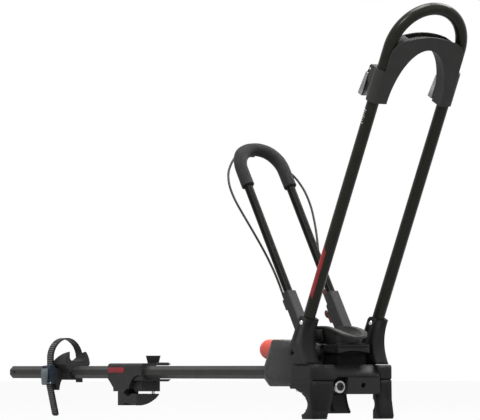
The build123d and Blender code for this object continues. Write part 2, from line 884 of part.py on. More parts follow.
axle_end_y = bracket_outer_y - rivet_head_t
with BuildPart() as hoop_axle:
    with BuildSketch(side_plane(0)):
        with Locations((pivot_x, pivot_z)):
            Circle(axle_r)
    extrude(amount=axle_end_y, both=True)
    for y in both_sides:
        with BuildSketch(side_plane(y * axle_end_y)):
            with Locations((pivot_x, pivot_z)):
                Circle(axle_socket_r)
        extrude(amount=y * axle_socket_depth, mode=Mode.SUBTRACT)
save(hoop_axle, "hoop_axle")

socket_inner_y = small_half - socket_half_y
socket_outer_y = small_half + socket_half_y
with BuildPart() as axle_spacers:
    for low, high in ((boss_half, socket_inner_y), (socket_outer_y, bracket_inner_y)):
        for y in (high - side_gap, -low - side_gap):
            with BuildSketch(side_plane(y)):
                with Locations((pivot_x, pivot_z)):
                    Circle(axle_r + foot_edge_r)
                    Circle(axle_r + run_fit, mode=Mode.SUBTRACT)
            extrude(amount=high - low - 2 * side_gap)
save(axle_spacers, "axle_spacers")

# Tension knob, the draw screw and the collar that takes its thrust

with BuildPart() as tension_knob:
    with BuildSketch(Plane.XZ):
        with BuildLine():
            Line((knob_floor_x - side_gap, screw_z), (knob_tip_x, screw_z))
            ThreePointArc(
                (knob_tip_x, screw_z),
                (knob_tip_x + (knob_shoulder_x - knob_tip_x) * (1 - sqrt(0.5)), screw_z + knob_r * sqrt(0.5)),
                (knob_shoulder_x, screw_z + knob_r),
            )
            Line((knob_shoulder_x, screw_z + knob_r), (knob_floor_x - side_gap, screw_z + knob_r))
            Line((knob_floor_x - side_gap, screw_z + knob_r), (knob_floor_x - side_gap, screw_z))
        make_face()
    revolve(axis=Axis((0, 0, screw_z), (1, 0, 0)))
    with BuildSketch(Plane.YZ.offset(knob_floor_x)):
        with Locations((0, screw_z)):
            Circle(screw_r + seat_gap)
    extrude(amount=knob_socket_x - knob_floor_x, mode=Mode.SUBTRACT)
save(tension_knob, "tension_knob")

with BuildPart() as draw_screw:
    with BuildSketch(Plane.YZ.offset(knob_socket_x)):
        with Locations((0, screw_z)):
            Circle(screw_r)
    extrude(amount=screw_front_x - knob_socket_x)
    chamfer(draw_screw.faces().sort_by(Axis.X)[-1].edges(), screw_r / 4)
save(draw_screw, "draw_screw")

with BuildPart() as thrust_collar:
    with BuildSketch(Plane.YZ.offset(cavity_rear_x + seat_gap)):
        with Locations((0, screw_z)):
            Circle(collar_r)
            Circle(screw_r + run_fit, mode=Mode.SUBTRACT)
    extrude(amount=collar_t)
save(thrust_collar, "thrust_collar")

# Front jaw on its arm, its nut and its ribbed rubber face

jaw_face = [
    (jaw_front_x, jaw_shoulder_z),
    (jaw_mid_x, jaw_mid_z),
    (jaw_toe_x, jaw_toe_z),
]
with BuildPart() as front_jaw:
    with BuildSketch(Plane.XZ) as jaw_outline:
        with BuildLine():
            ThreePointArc(*jaw_face)
            Polyline(
                jaw_face[-1],
                (jaw_toe_x - jaw_edge_r, jaw_bottom_z),
                (jaw_back_x + 3 * jaw_edge_r, jaw_bottom_z),
                (jaw_back_x, jaw_bottom_z + 3 * jaw_edge_r),
                (jaw_back_x, slab_bottom_z - slide_gap),
                (jaw_front_x, slab_bottom_z - slide_gap),
                jaw_face[0],
            )
        make_face()
    extrude(amount=jaw_half, both=True)
    fillet(front_jaw.edges().filter_by(Axis.Z).sort_by(Axis.X)[:2], jaw_edge_r)
    with BuildSketch(Plane.XZ):
        with BuildLine():
            Polyline(
                (arm_x0, jaw_shoulder_z),
                (arm_x0, arm_knee_z),
                (arm_back_x, arm_shelf_z),
                (arm_back_x, arm_top_z),
                (arm_nut_x, arm_top_z),
                (arm_nut_x, arm_shelf_z),
                (arm_x1, arm_knee_z),
                (arm_x1, jaw_shoulder_z),
                close=True,
            )
        make_face()
    extrude(amount=arm_half, both=True)
    with BuildSketch(Plane.YZ.offset(arm_back_x)):
        with Locations((0, screw_z)):
            Circle(nut_r + seat_gap)
    extrude(amount=arm_nut_x - arm_back_x, mode=Mode.SUBTRACT)
save(front_jaw, "front_jaw")

with BuildPart() as draw_nut:
    with BuildSketch(Plane.YZ.offset(arm_back_x)):
        with Locations((0, screw_z)):
            Circle(nut_r)
            Circle(screw_r + run_fit, mode=Mode.SUBTRACT)
    extrude(amount=arm_nut_x - arm_back_x)
save(draw_nut, "draw_nut")

with BuildPart() as jaw_pad:
    with BuildSketch(Plane.XZ):
        with BuildLine():
            face_arc = ThreePointArc(*[(x + seat_gap, z) for x, z in jaw_face])
            pad_low = Line(face_arc @ 1, face_arc @ 1 + Vector(jaw_pad_t, 0))
            pad_top = Line(face_arc @ 0, face_arc @ 0 + Vector(jaw_pad_t, 0))
            ThreePointArc(pad_low @ 1, face_arc @ 0.5 + Vector(jaw_pad_t, 0), pad_top @ 1)
        make_face()
    extrude(amount=jaw_pad_half, both=True)
    rib_step = (jaw_shoulder_z - jaw_toe_z) / (jaw_rib_count + 1)
    for k in range(jaw_rib_count):
        share = (k + 1) / (jaw_rib_count + 1)
        spot = face_arc @ share
        with Locations(Plane.XZ * Location((spot.X + jaw_pad_t, spot.Z, 0))):
            Cylinder(jaw_rib_r, 2 * jaw_pad_half + overrun, mode=Mode.SUBTRACT)
save(jaw_pad, "jaw_pad")

# Wheel cradle and its screws

rim_line = [
    (cradle_rear_x, cradle_rim_z),
    (cradle_mid_x, cradle_mid_z),
    (cradle_front_x, cradle_lip_z),
]
with BuildPart() as cradle_rim:
    with BuildSketch(Plane.XZ):
        with BuildLine():
            ThreePointArc(*rim_line)
            Line(rim_line[-1], (cradle_front_x, cradle_lip_z - cradle_rim_t))
            ThreePointArc(*[(x, z - cradle_rim_t) for x, z in reversed(rim_line)])
            Line((cradle_rear_x, cradle_rim_z - cradle_rim_t), rim_line[0])
        make_face()
    extrude(amount=cradle_rim_half, both=True)
    with BuildSketch(Plane.XY.offset(cradle_waist_z)):
        with BuildLine():
            Polyline(
                (cradle_spout_x, -cradle_rim_half),
                (cradle_rear_x, -cradle_rim_half),
                (cradle_rear_x, cradle_rim_half),
                (cradle_spout_x, cradle_rim_half),
            )
            EllipticalCenterArc(
                (cradle_spout_x, 0),
                cradle_front_x - cradle_spout_x,
                cradle_rim_half,
                start_angle=-90,
                arc_size=180,
            )
        make_face()
    extrude(amount=cradle_rim_z - cradle_waist_z, mode=Mode.INTERSECT)

with BuildPart() as wheel_cradle:
    # Bowl, from the waist up to the rim
    for z, rear, spout, front, half in (
        (cradle_waist_z, cradle_waist_rear_x, cradle_waist_spout_x, cradle_waist_x, cradle_neck_half),
        (
            cradle_rim_z,
            cradle_rear_x + cradle_rim_t,
            cradle_spout_x,
            cradle_front_x - cradle_rim_t,
            cradle_rim_half - cradle_rim_over,
        ),
    ):
        with BuildSketch(Plane.XY.offset(z)):
            with BuildLine():
                Polyline((spout, -half), (rear, -half), (rear, half), (spout, half))
                EllipticalCenterArc((spout, 0), front - spout, half, start_angle=-90, arc_size=180)
            make_face()
    loft(ruled=True)
    with BuildSketch(Plane.XZ):
        with BuildLine():
            ThreePointArc(*rim_line)
            Polyline(
                rim_line[-1],
                (cradle_front_x + overrun, cradle_lip_z),
                (cradle_front_x + overrun, cradle_rim_z + overrun),
                (cradle_rear_x, cradle_rim_z + overrun),
                rim_line[0],
            )
        make_face()
    extrude(amount=cradle_rim_half + overrun, both=True, mode=Mode.SUBTRACT)
    add(cradle_rim.part)
    # Neck and flange
    with BuildSketch(Plane.XY.offset(cradle_foot_top_z)):
        with Locations(((cradle_foot_rear_x + cradle_waist_x) / 2, 0)):
            RectangleRounded(cradle_waist_x - cradle_foot_rear_x, 2 * cradle_neck_half, cradle_edge_r)
    extrude(amount=cradle_waist_z - cradle_foot_top_z + cradle_rim_over)
    with BuildSketch(Plane.XY.offset(cradle_skirt_z)):
        with Locations(((cradle_foot_rear_x + cradle_foot_front_x) / 2, 0)):
            RectangleRounded(
                cradle_foot_front_x - cradle_foot_rear_x, 2 * cradle_rim_half, cradle_edge_r
            )
    extrude(amount=cradle_foot_top_z - cradle_skirt_z)
    # Room of the pillar, and the arch along the skirt
    with BuildSketch(Plane.XY.offset(cradle_base_z)):
        with Locations(((pillar_rear_x - overrun + pillar_front_x + side_gap) / 2, 0)):
            Rectangle(pillar_front_x + side_gap - pillar_rear_x + overrun, 2 * (pillar_half + side_gap))
    extrude(amount=cradle_skirt_z - cradle_base_z - overrun, mode=Mode.SUBTRACT)
    with BuildSketch(Plane.YZ.offset(pillar_front_x)):
        with BuildLine():
            ThreePointArc(
                (-cradle_rim_half, cradle_skirt_z), (0, cradle_base_z), (cradle_rim_half, cradle_skirt_z)
            )
            Line((cradle_rim_half, cradle_skirt_z), (-cradle_rim_half, cradle_skirt_z))
        make_face()
    extrude(amount=cradle_foot_front_x - pillar_front_x + overrun, mode=Mode.SUBTRACT)
    # Flute round the front of the flange
    with BuildSketch(Plane.XZ):
        with Locations((cradle_foot_front_x, (cradle_base_z + cradle_foot_top_z) / 2 + flute_r / 2)):
            Circle(flute_r)
    extrude(amount=cradle_rim_half + overrun, both=True, mode=Mode.SUBTRACT)
    # Trough shaped by the tyre
    with BuildLine(Plane.XZ) as tyre_line:
        CenterArc(
            (trough_x, trough_z + tyre_r),
            tyre_r - tyre_half,
            start_angle=-90 - trough_half_angle,
            arc_size=2 * trough_half_angle,
        )
    with BuildSketch(Plane(origin=tyre_line.line @ 0, z_dir=tyre_line.line % 0)):
        Circle(tyre_half)
    sweep(path=tyre_line.line, mode=Mode.SUBTRACT)
    # Slots between the ribs down the flange's sides
    with Locations(
        *[
            (
                cradle_foot_rear_x + (k + 1) * cradle_rib_pitch,
                y * cradle_rim_half,
                (cradle_base_z + cradle_foot_top_z) / 2,
            )
            for k in range(cradle_rib_count)
            for y in both_sides
        ]
    ):
        Box(cradle_rib_w, 2 * cradle_rib_depth, cradle_foot_top_z - cradle_base_z, mode=Mode.SUBTRACT)
    for k in both_sides:
        with Locations((trough_x + k * cradle_screw_pitch / 2, 0, trough_z)):
            Cylinder(cradle_screw_r + seat_gap, 2 * cradle_screw_length, mode=Mode.SUBTRACT)
        with BuildSketch(Plane.XY.offset(trough_z - cradle_screw_head_t)):
            with Locations((trough_x + k * cradle_screw_pitch / 2, 0)):
                Circle(cradle_screw_head_r + seat_gap)
        extrude(amount=2 * cradle_screw_head_t, mode=Mode.SUBTRACT)
save(wheel_cradle, "wheel_cradle")

with BuildPart() as cradle_screws:
    for k in both_sides:
        with BuildSketch(Plane.XY.offset(trough_z - cradle_screw_head_t)):
            with Locations((trough_x + k * cradle_screw_pitch / 2, 0)):
                Circle(cradle_screw_head_r)
        extrude(amount=cradle_screw_head_t - seat_gap)
        with BuildSketch(Plane.XY.offset(trough_z - cradle_screw_head_t)):
            with Locations((trough_x + k * cradle_screw_pitch / 2, 0)):
                Circle(cradle_screw_r - seat_gap)
        extrude(amount=cradle_base_z - cradle_screw_length / 2 - trough_z)
save(cradle_screws, "cradle_screws")

# Tall hoop: tube, brackets and rivets

tall_plane = hoop_plane(tall_lean_angle)
small_plane = hoop_plane(-small_lean_angle)

with BuildPart() as tall_hoop_tube:
    with BuildLine(tall_plane) as tall_path:
        hoop_line(tall_half, tall_start, tall_straight)
    with BuildSketch(across_leg(tall_lean_angle, tall_half, tall_start)):
        Circle(tall_tube_r)
        Circle(tall_tube_r - tall_wall, mode=Mode.SUBTRACT)
    sweep(path=tall_path.line)
    for side in both_sides:
        with Locations(hoop_side(tall_lean_angle, side * tall_half) * Location((0, rivet_along, 0))):
            Cylinder(rivet_r + seat_gap, 2 * tall_tube_r + overrun, mode=Mode.SUBTRACT)
save(tall_hoop_tube, "tall_hoop_tube")

along_dir = tall_plane.y_dir
ahead_dir = tall_plane.z_dir
rivet_spot = Vector(pivot_x, 0, pivot_z) + along_dir * rivet_along


def hoop_bracket(side):
    """The clevis at the foot of one leg: two cheeks, a front wall and a socket round the tube."""
    outer = bracket_outer_y if side > 0 else -bracket_inner_y
    slot_outer = cheek_out_y if side > 0 else -cheek_in_y
    heel_angle = 205.0
    heel = Vector(cos(radians(heel_angle)), sin(radians(heel_angle))) * bracket_heel_r
    with BuildPart() as bracket:
        with BuildSketch(side_plane(outer)):
            with BuildLine():
                Line((pivot_x, bracket_bottom_z), (bracket_front_x, bracket_bottom_z))
                front = Spline(
                    (bracket_front_x, bracket_bottom_z),
                    (bracket_waist_x, bracket_waist_z),
                    (bracket_brow_x, bracket_brow_z),
                )
                ear_front = rivet_spot + Vector(cos(radians(60)), 0, sin(radians(60))) * ear_r
                ear_rear = rivet_spot + Vector(cos(radians(165)), 0, sin(radians(165))) * ear_r
                ear_top = rivet_spot + Vector(cos(radians(110)), 0, sin(radians(110))) * ear_r
                Line((bracket_brow_x, bracket_brow_z), (ear_front.X, ear_front.Z))
                ThreePointArc(
                    (ear_front.X, ear_front.Z), (ear_top.X, ear_top.Z), (ear_rear.X, ear_rear.Z)
                )
                heel_top = Vector(cos(radians(155)), sin(radians(155))) * bracket_heel_r
                Line((ear_rear.X, ear_rear.Z), (pivot_x + heel_top.X, pivot_z + heel_top.Y))
                ThreePointArc(
                    (pivot_x + heel_top.X, pivot_z + heel_top.Y),
                    (pivot_x - bracket_heel_r, pivot_z),
                    (pivot_x + heel.X, pivot_z + heel.Y),
                )
                Line((pivot_x + heel.X, pivot_z + heel.Y), (pivot_x, bracket_bottom_z))
            make_face()
        extrude(amount=bracket_outer_y - bracket_inner_y)
        # Slot that clears the lug over the whole fold
        leg_foot = Vector(pivot_x, 0, pivot_z) + along_dir * (tall_start - overrun / 2)
        slot_front = leg_foot + ahead_dir * (tall_tube_r + seat_gap)
        slot_rear = leg_foot - ahead_dir * 3 * tall_tube_r
        with BuildSketch(side_plane(slot_outer)):
            with BuildLine():
                Polyline(
                    (pivot_x - 3 * lug_r, bracket_bottom_z - overrun),
                    (bracket_front_x - bracket_front_wall, bracket_bottom_z - overrun),
                    (bracket_front_x - bracket_front_wall, bracket_bottom_z),
                    (slot_front.X, slot_front.Z),
                    (slot_rear.X, slot_rear.Z),
                    (pivot_x - 3 * lug_r, pivot_z),
                    close=True,
                )
            make_face()
        extrude(amount=cheek_out_y - cheek_in_y, mode=Mode.SUBTRACT)
        with BuildSketch(across_leg(tall_lean_angle, side * tall_half, tall_start - overrun)):
            Circle(tall_tube_r + seat_gap)
        extrude(amount=3 * rivet_along, mode=Mode.SUBTRACT)
        with Locations(side_plane(0) * Location((pivot_x, pivot_z, 0))):
            Cylinder(axle_r + run_fit, 3 * bracket_outer_y, mode=Mode.SUBTRACT)
        with Locations(hoop_side(tall_lean_angle, 0) * Location((0, rivet_along, 0))):
            Cylinder(rivet_r + seat_gap, 3 * bracket_outer_y, mode=Mode.SUBTRACT)
    return bracket


for side, name in zip(both_sides, ("near_hoop_bracket", "far_hoop_bracket")):
    save(hoop_bracket(side), name)

with BuildPart() as hoop_rivets:
    for side in both_sides:
        middle = side * (bracket_inner_y + bracket_outer_y) / 2
        half = (bracket_outer_y - bracket_inner_y) / 2
        with BuildSketch(hoop_side(tall_lean_angle, middle)):
            with Locations((0, rivet_along)):
                Circle(rivet_r)
        extrude(amount=half, both=True)
        for end in both_sides:
            with BuildSketch(hoop_side(tall_lean_angle, middle - end * half)):
                with Locations((0, rivet_along)):
                    Circle(rivet_head_r)
            extrude(amount=end * rivet_head_t, taper=30)
save(hoop_rivets, "hoop_rivets")

# Tyre bridge that slides on the tall hoop's legs

with BuildPart() as tyre_bridge:
    with BuildSketch(hoop_plane(tall_lean_angle, -bridge_half_t)):
        with BuildLine():
            ThreePointArc(
                (-bridge_corner_half, bridge_corner), (0, bridge_top), (bridge_corner_half, bridge_corner)
            )
            for k in both_sides:
                ThreePointArc(
                    (k * bridge_corner_half, bridge_corner),
                    (
                        k * (0.3 * bridge_corner_half + 0.7 * bridge_half),
                        0.6 * bridge_corner + 0.4 * bridge_shoulder,
                    ),
                    (k * bridge_half, bridge_shoulder),
                )
                Polyline(
                    (k * bridge_half, bridge_shoulder),
                    (k * bridge_half, sleeve_top),
                    (k * tall_half, sleeve_top),
                    (k * tall_half, bridge_bottom),
                )
            Line((-tall_half, bridge_bottom), (tall_half, bridge_bottom))
        make_face()
    extrude(amount=bridge_half_t + bridge_ahead)
    # Front plate that reaches past the legs
    with BuildSketch(hoop_plane(tall_lean_angle, bridge_ahead)):
        with BuildLine():
            ThreePointArc(
                (-bridge_corner_half, bridge_corner), (0, bridge_top), (bridge_corner_half, bridge_corner)
            )
            for k in both_sides:
                ThreePointArc(
                    (k * bridge_corner_half, bridge_corner),
                    (k * bridge_knee_half, bridge_top - bridge_knee_drop),
                    (k * bridge_front_half, bridge_top - bridge_front_shoulder_drop),
                )
                Line(
                    (k * bridge_front_half, bridge_top - bridge_front_shoulder_drop),
                    (k * bridge_front_half, bridge_bottom),
                )
            Line((-bridge_front_half, bridge_bottom), (bridge_front_half, bridge_bottom))
        make_face()
    extrude(amount=bridge_front_t)
    fillet(
        tyre_bridge.faces().sort_by(Axis(tall_plane.origin, tall_plane.z_dir))[-1].edges(),
        bridge_edge_r,
    )
    # Arch over the tyre, and the groove along the top
    with BuildSketch(tall_plane):
        with Locations((0, bridge_bottom)):
            Ellipse(arch_half, arch_rise)
    extrude(amount=2 * sleeve_r, both=True, mode=Mode.SUBTRACT)
    with BuildSketch(hoop_plane(tall_lean_angle, bridge_wall - bridge_half_t)):
        with BuildLine():
            ThreePointArc(
                (bridge_wall - bridge_corner_half, bridge_corner - bridge_groove),
                (0, bridge_top - bridge_groove),
                (bridge_corner_half - bridge_wall, bridge_corner - bridge_groove),
            )
            Polyline(
                (bridge_corner_half - bridge_wall, bridge_corner - bridge_groove),
                (bridge_corner_half - bridge_wall, bridge_top + overrun),
                (bridge_wall - bridge_corner_half, bridge_top + overrun),
                (bridge_wall - bridge_corner_half, bridge_corner - bridge_groove),
            )
        make_face()
    extrude(amount=bridge_half_t + bridge_ahead - bridge_wall, mode=Mode.SUBTRACT)
    for side in both_sides:
        with BuildSketch(across_leg(tall_lean_angle, side * tall_half, bridge_bottom)):
            Circle(sleeve_r)
        extrude(amount=sleeve_top - bridge_bottom)
        with BuildSketch(hoop_side(tall_lean_angle, side * tall_half)):
            with BuildLine():
                Polyline(
                    (0, cam_boss_bottom),
                    (cam_ahead + cam_r / 2, cam_boss_bottom),
                    (cam_ahead - cam_r / 2, cam_along - cam_r / 2),
                    (cam_ahead - cam_r / 2, cam_boss_top - cam_r / 2),
                    (cam_ahead, cam_boss_top),
                    (-tall_tube_r, cam_boss_top),
                    (0, sleeve_top),
                    close=True,
                )
            make_face()
        extrude(amount=cam_half + cam_ear_t, both=True)
        # Slot between the lever's ears, and the window of the brake shoe
        with BuildSketch(hoop_side(tall_lean_angle, side * tall_half)):
            with Locations((cam_ahead, cam_along)):
                Circle(cam_r + side_gap)
            with Locations((cam_ahead - 2 * cam_r, cam_along - cam_r)):
                Rectangle(4 * cam_r, 6 * cam_r)
            with Locations((cam_ahead, cam_along - 2 * cam_r)):
                Rectangle(cam_r, 4 * cam_r)
        extrude(amount=cam_half + side_gap, both=True, mode=Mode.SUBTRACT)
        with BuildSketch(hoop_side(tall_lean_angle, side * tall_half)):
            with Locations((cam_ahead / 2, cam_along)):
                Rectangle(-cam_ahead, shoe_length + 2 * side_gap)
        extrude(amount=shoe_half + side_gap, both=True, mode=Mode.SUBTRACT)
        with BuildSketch(across_leg(tall_lean_angle, side * tall_half, bridge_bottom - overrun)):
            Circle(tall_tube_r + slide_gap)
        extrude(amount=bridge_top - bridge_bottom + 2 * overrun, mode=Mode.SUBTRACT)
        with Locations(hoop_side(tall_lean_angle, side * tall_half) * Location((cam_ahead, cam_along, 0))):
            Cylinder(cam_pin_r + run_fit, 4 * cam_half, mode=Mode.SUBTRACT)
save(tyre_bridge, "tyre_bridge")

with BuildPart() as brake_shoes:
    for side in both_sides:
        with BuildSketch(hoop_side(tall_lean_angle, side * tall_half)):
            with Locations(((shoe_face_ahead + cam_ahead + cam_r + side_gap) / 2, cam_along)):
                Rectangle(shoe_face_ahead - cam_ahead - cam_r - side_gap, shoe_length)
        extrude(amount=shoe_half, both=True)
save(brake_shoes, "brake_shoes")

with BuildPart() as cam_pins:
    for side in both_sides:
        with BuildSketch(hoop_side(tall_lean_angle, side * tall_half)):
            with Locations((cam_ahead, cam_along)):
                Circle(cam_pin_r)
        extrude(amount=cam_half + cam_ear_t, both=True)
save(cam_pins, "cam_pins")


def cam_lever(side):
    """One of the levers that lock the bridge: a cam between two ears, and a handle down the leg."""
    with BuildPart() as lever:
        with BuildSketch(hoop_side(tall_lean_angle, side * tall_half)):
            with Locations((cam_ahead, cam_along)):
                Circle(cam_r)
            with BuildLine():
                Polyline(
                    (cam_ahead, cam_along + cam_r),
                    (lever_out_ahead, cam_along - cam_r),
                    (lever_out_ahead, lever_tip + 2 * cam_r),
                    (lever_in_ahead, lever_tip + cam_r),
                    (lever_in_ahead, cam_along - 2 * cam_r),
                    (cam_ahead, cam_along - cam_r),
                    close=True,
                )
            make_face()
        extrude(amount=cam_half, both=True)
        with BuildSketch(hoop_side(tall_lean_angle, side * tall_half)) as handle:
            with BuildLine():
                Polyline(
                    (lever_out_ahead, cam_boss_bottom - side_gap),
                    (lever_out_ahead, lever_tip),
                    (lever_in_ahead, lever_tip),
                    (lever_in_ahead, cam_boss_bottom - side_gap),
                    close=True,
                )
            make_face()
        extrude(amount=lever_half, both=True)
        fillet(lever.edges().filter_by(Axis.Y).sort_by(Axis(tall_plane.origin, along_dir))[:2], lever_edge_r)
        with Locations(hoop_side(tall_lean_angle, side * tall_half) * Location((cam_ahead, cam_along, 0))):
            Cylinder(cam_pin_r + run_fit, 4 * cam_half, mode=Mode.SUBTRACT)
    return lever


def lever_face(side):
    """The ribbed metal face on a cam lever's handle."""
    length = cam_boss_bottom - lever_tip - 2 * lever_edge_r
    with BuildPart() as face:
        with BuildSketch(hoop_side(tall_lean_angle, side * tall_half)):
            with Locations(
                (lever_out_ahead - lever_face_t / 2, (lever_tip + cam_boss_bottom) / 2),
            ):
                Rectangle(lever_face_t, length)
            rib = length / lever_rib_count
            with Locations(
                *[
                    (lever_out_ahead - lever_face_t, lever_tip + lever_edge_r + rib * (k + 0.5))
                    for k in range(lever_rib_count)
                ]
            ):
                Rectangle(lever_face_t, rib / 3, mode=Mode.SUBTRACT)
        extrude(amount=lever_face_half, both=True)
    return face


for side, name in zip(both_sides, ("near", "far")):
    save(cam_lever(side), f"{name}_cam_lever")
    save(lever_face(side), f"{name}_lever_face")

# Small hoop: tube, sockets, pins and foam pad

with BuildPart() as small_hoop_tube:
    with BuildLine(small_plane) as small_path:
        hoop_line(small_half, small_start, small_straight)
    with BuildSketch(across_leg(-small_lean_angle, small_half, small_start)):
        Circle(small_tube_r)
        Circle(small_tube_r - small_wall, mode=Mode.SUBTRACT)
    sweep(path=small_path.line)
    for side in both_sides:
        with Locations(hoop_side(-small_lean_angle, side * small_half) * Location((0, socket_pin_along, 0))):
            Cylinder(socket_pin_r + seat_gap, 3 * small_tube_r, mode=Mode.SUBTRACT)
save(small_hoop_tube, "small_hoop_tube")


def hoop_socket(side):
    """The moulded socket that joins a leg of the small hoop to the axle."""
    with BuildPart() as socket:
        with BuildSketch(hoop_side(-small_lean_angle, side * small_half)):
            with BuildLine():
                Polyline(
                    (-socket_root_half, 0),
                    (-socket_top_half, socket_top),
                    (socket_top_half, socket_top - socket_edge_r),
                    (socket_root_half, 0),
                    close=True,
                )
            make_face()
            Circle(socket_boss_r)
        extrude(amount=socket_half_y, both=True)
        fillet(
            socket.edges().filter_by(lambda e: e.length > socket_top * 0.7),
            socket_edge_r,
        )
        with BuildSketch(across_leg(-small_lean_angle, side * small_half, small_start)):
            Circle(small_tube_r + seat_gap)
        extrude(amount=socket_top, mode=Mode.SUBTRACT)
        with Locations(side_plane(0) * Location((pivot_x, pivot_z, 0))):
            Cylinder(axle_r + run_fit, 3 * bracket_outer_y, mode=Mode.SUBTRACT)
        with Locations(hoop_side(-small_lean_angle, 0) * Location((0, socket_pin_along, 0))):
            Cylinder(socket_pin_r + seat_gap, 3 * bracket_outer_y, mode=Mode.SUBTRACT)
    return socket


for side, name in zip(both_sides, ("near_hoop_socket", "far_hoop_socket")):
    save(hoop_socket(side), name)

with BuildPart() as socket_pins:
    for side in both_sides:
        with BuildSketch(hoop_side(-small_lean_angle, side * small_half)):
            with Locations((0, socket_pin_along)):
                Circle(socket_pin_r)
        extrude(amount=socket_half_y, both=True)
save(socket_pins, "socket_pins")

with BuildPart() as grip_pad:
    with BuildLine(small_plane) as pad_path:
        hoop_line(small_half, pad_start, small_straight)
    with BuildSketch(across_leg(-small_lean_angle, small_half, pad_start)):
        Circle(pad_r)
        Circle(small_tube_r + seat_gap, mode=Mode.SUBTRACT)
    sweep(path=pad_path.line)
save(grip_pad, "grip_pad")

# Release trigger and its housing, behind the bend

with BuildPart() as trigger_housing:
    with BuildLine(hoop_plane(-small_lean_angle, housing_ahead)) as housing_path:
        CenterArc((0, small_straight), housing_r, 90 - housing_angle, 2 * housing_angle)
    with BuildSketch(Plane(origin=housing_path.line @ 0, x_dir=small_plane.z_dir, z_dir=housing_path.line % 0)):
        RectangleRounded(housing_depth, housing_radial, housing_edge_r)
    sweep(path=housing_path.line)
    with BuildSketch(hoop_plane(-small_lean_angle, housing_ahead)):
        with Locations((0, (trigger_in + trigger_travel + trigger_out) / 2)):
            Rectangle(2 * trigger_half + 2 * side_gap, trigger_in + trigger_travel - trigger_out + side_gap)
    extrude(amount=trigger_t / 2 + side_gap, both=True, mode=Mode.SUBTRACT)
save(trigger_housing, "trigger_housing")

with BuildPart() as release_trigger:
    with BuildSketch(hoop_plane(-small_lean_angle, housing_ahead)) as paddle:
        with Locations((0, (trigger_in + trigger_out) / 2)):
            Rectangle(2 * trigger_half, trigger_in - trigger_out)
        fillet(paddle.vertices().sort_by(Axis(small_plane.origin, small_plane.y_dir))[:2], trigger_t / 2)
    extrude(amount=trigger_t / 2, both=True)
save(release_trigger, "release_trigger")

# Release cables, one down each side

def cable(side, route):
    """One sheathed cable along its route, in runs joined by tangent arcs as large as the runs allow."""
    points = [small_plane.from_local_coords((side * out, along, n)) for out, along, n in route]
    radii = []
    for before, here, after in zip(points, points[1:], points[2:]):
        turn = radians((here - before).get_angle(after - here))
        shorter = min((here - before).length, (after - here).length)
        radii.append(0.45 * shorter / tan(turn / 2))
    print("cable radii, mm:", [round(r) for r in radii])
    with BuildPart() as line:
        with BuildLine() as path:
            FilletPolyline(*points, radius=radii)
        with BuildSketch(Plane(origin=path.line @ 0, z_dir=path.line % 0)):
            Circle(cable_r)
        sweep(path=path.line)
    length = sum(edge.length for edge in path.line.edges())
    print("cable volume over section times length:", round(line.part.volume / (pi * cable_r**2 * length), 4))
    return line


cable_start_turn = radians(housing_angle) + seat_gap / housing_r
cable_start = (
    housing_r * sin(cable_start_turn),
    small_straight + housing_r * cos(cable_start_turn),
    housing_ahead,
)
cable_lead_end = (
    cable_start[0] + cable_lead * cos(cable_start_turn),
    cable_start[1] - cable_lead * sin(cable_start_turn),
    housing_ahead,
)
near_end = (cable_end_y, near_stop_low + seat_gap, cable_end_ahead)
far_end = (cable_end_y, cable_end_along + seat_gap, cable_end_ahead)
save(cable(-1, [cable_start, cable_lead_end] + near_cable_route + [near_end]), "near_release_cable")
save(cable(1, [cable_start, cable_lead_end] + far_cable_route + [far_end]), "far_release_cable")

# Cable stops at the sockets, and the far socket's pawl housing with its thumb lever

with BuildPart() as far_cable_stop:
    with BuildSketch(across_leg(-small_lean_angle, cable_end_y, far_stop_low, cable_end_ahead)):
        Circle(stop_r)
    extrude(amount=cable_end_along - far_stop_low)
    chamfer(far_cable_stop.edges().filter_by(GeomType.CIRCLE), stop_r / 4)
save(far_cable_stop, "far_cable_stop")

with BuildPart() as near_cable_stop:
    with BuildSketch(hoop_side(-small_lean_angle, -cable_end_y)):
        with BuildLine():
            Polyline(
                (-socket_root_half, near_tab_low),
                (cable_end_ahead - stop_r, near_tab_low + stop_r),
                (cable_end_ahead - stop_r, near_stop_low),
                (-socket_root_half + 0.8 * seat_gap, near_stop_low),
                close=True,
            )
        make_face()
    extrude(amount=stop_foot_half, both=True)
save(near_cable_stop, "near_cable_stop")

with BuildPart() as pawl_housing:
    with BuildSketch(hoop_side(-small_lean_angle, small_half)):
        with BuildLine():
            Polyline(
                (-socket_root_half, pawl_low),
                (pawl_ahead, pawl_low + stop_r),
                (pawl_ahead, pawl_high),
                (cable_end_ahead + stop_r / 4, far_stop_low - seat_gap),
                (-socket_root_half, far_stop_low - seat_gap),
                close=True,
            )
        make_face()
    extrude(amount=pawl_half, both=True)
    with BuildSketch(hoop_side(-small_lean_angle, small_half)):
        with Locations((thumb_slot_ahead - thumb_r, (thumb_along + thumb_pivot_along) / 2 - stop_r)):
            Rectangle(2 * thumb_r, 3 * thumb_r)
    extrude(amount=pawl_slot_half, both=True, mode=Mode.SUBTRACT)
    with Locations(
        hoop_side(-small_lean_angle, small_half) * Location((thumb_pivot_ahead - thumb_pin_r, thumb_pivot_along, 0))
    ):
        Cylinder(thumb_pin_r + seat_gap, 3 * pawl_half, mode=Mode.SUBTRACT)
save(pawl_housing, "pawl_housing")

with BuildPart() as thumb_pin:
    with BuildSketch(hoop_side(-small_lean_angle, small_half)):
        with Locations((thumb_pivot_ahead - thumb_pin_r, thumb_pivot_along)):
            Circle(thumb_pin_r)
    extrude(amount=pawl_half, both=True)
save(thumb_pin, "thumb_pin")

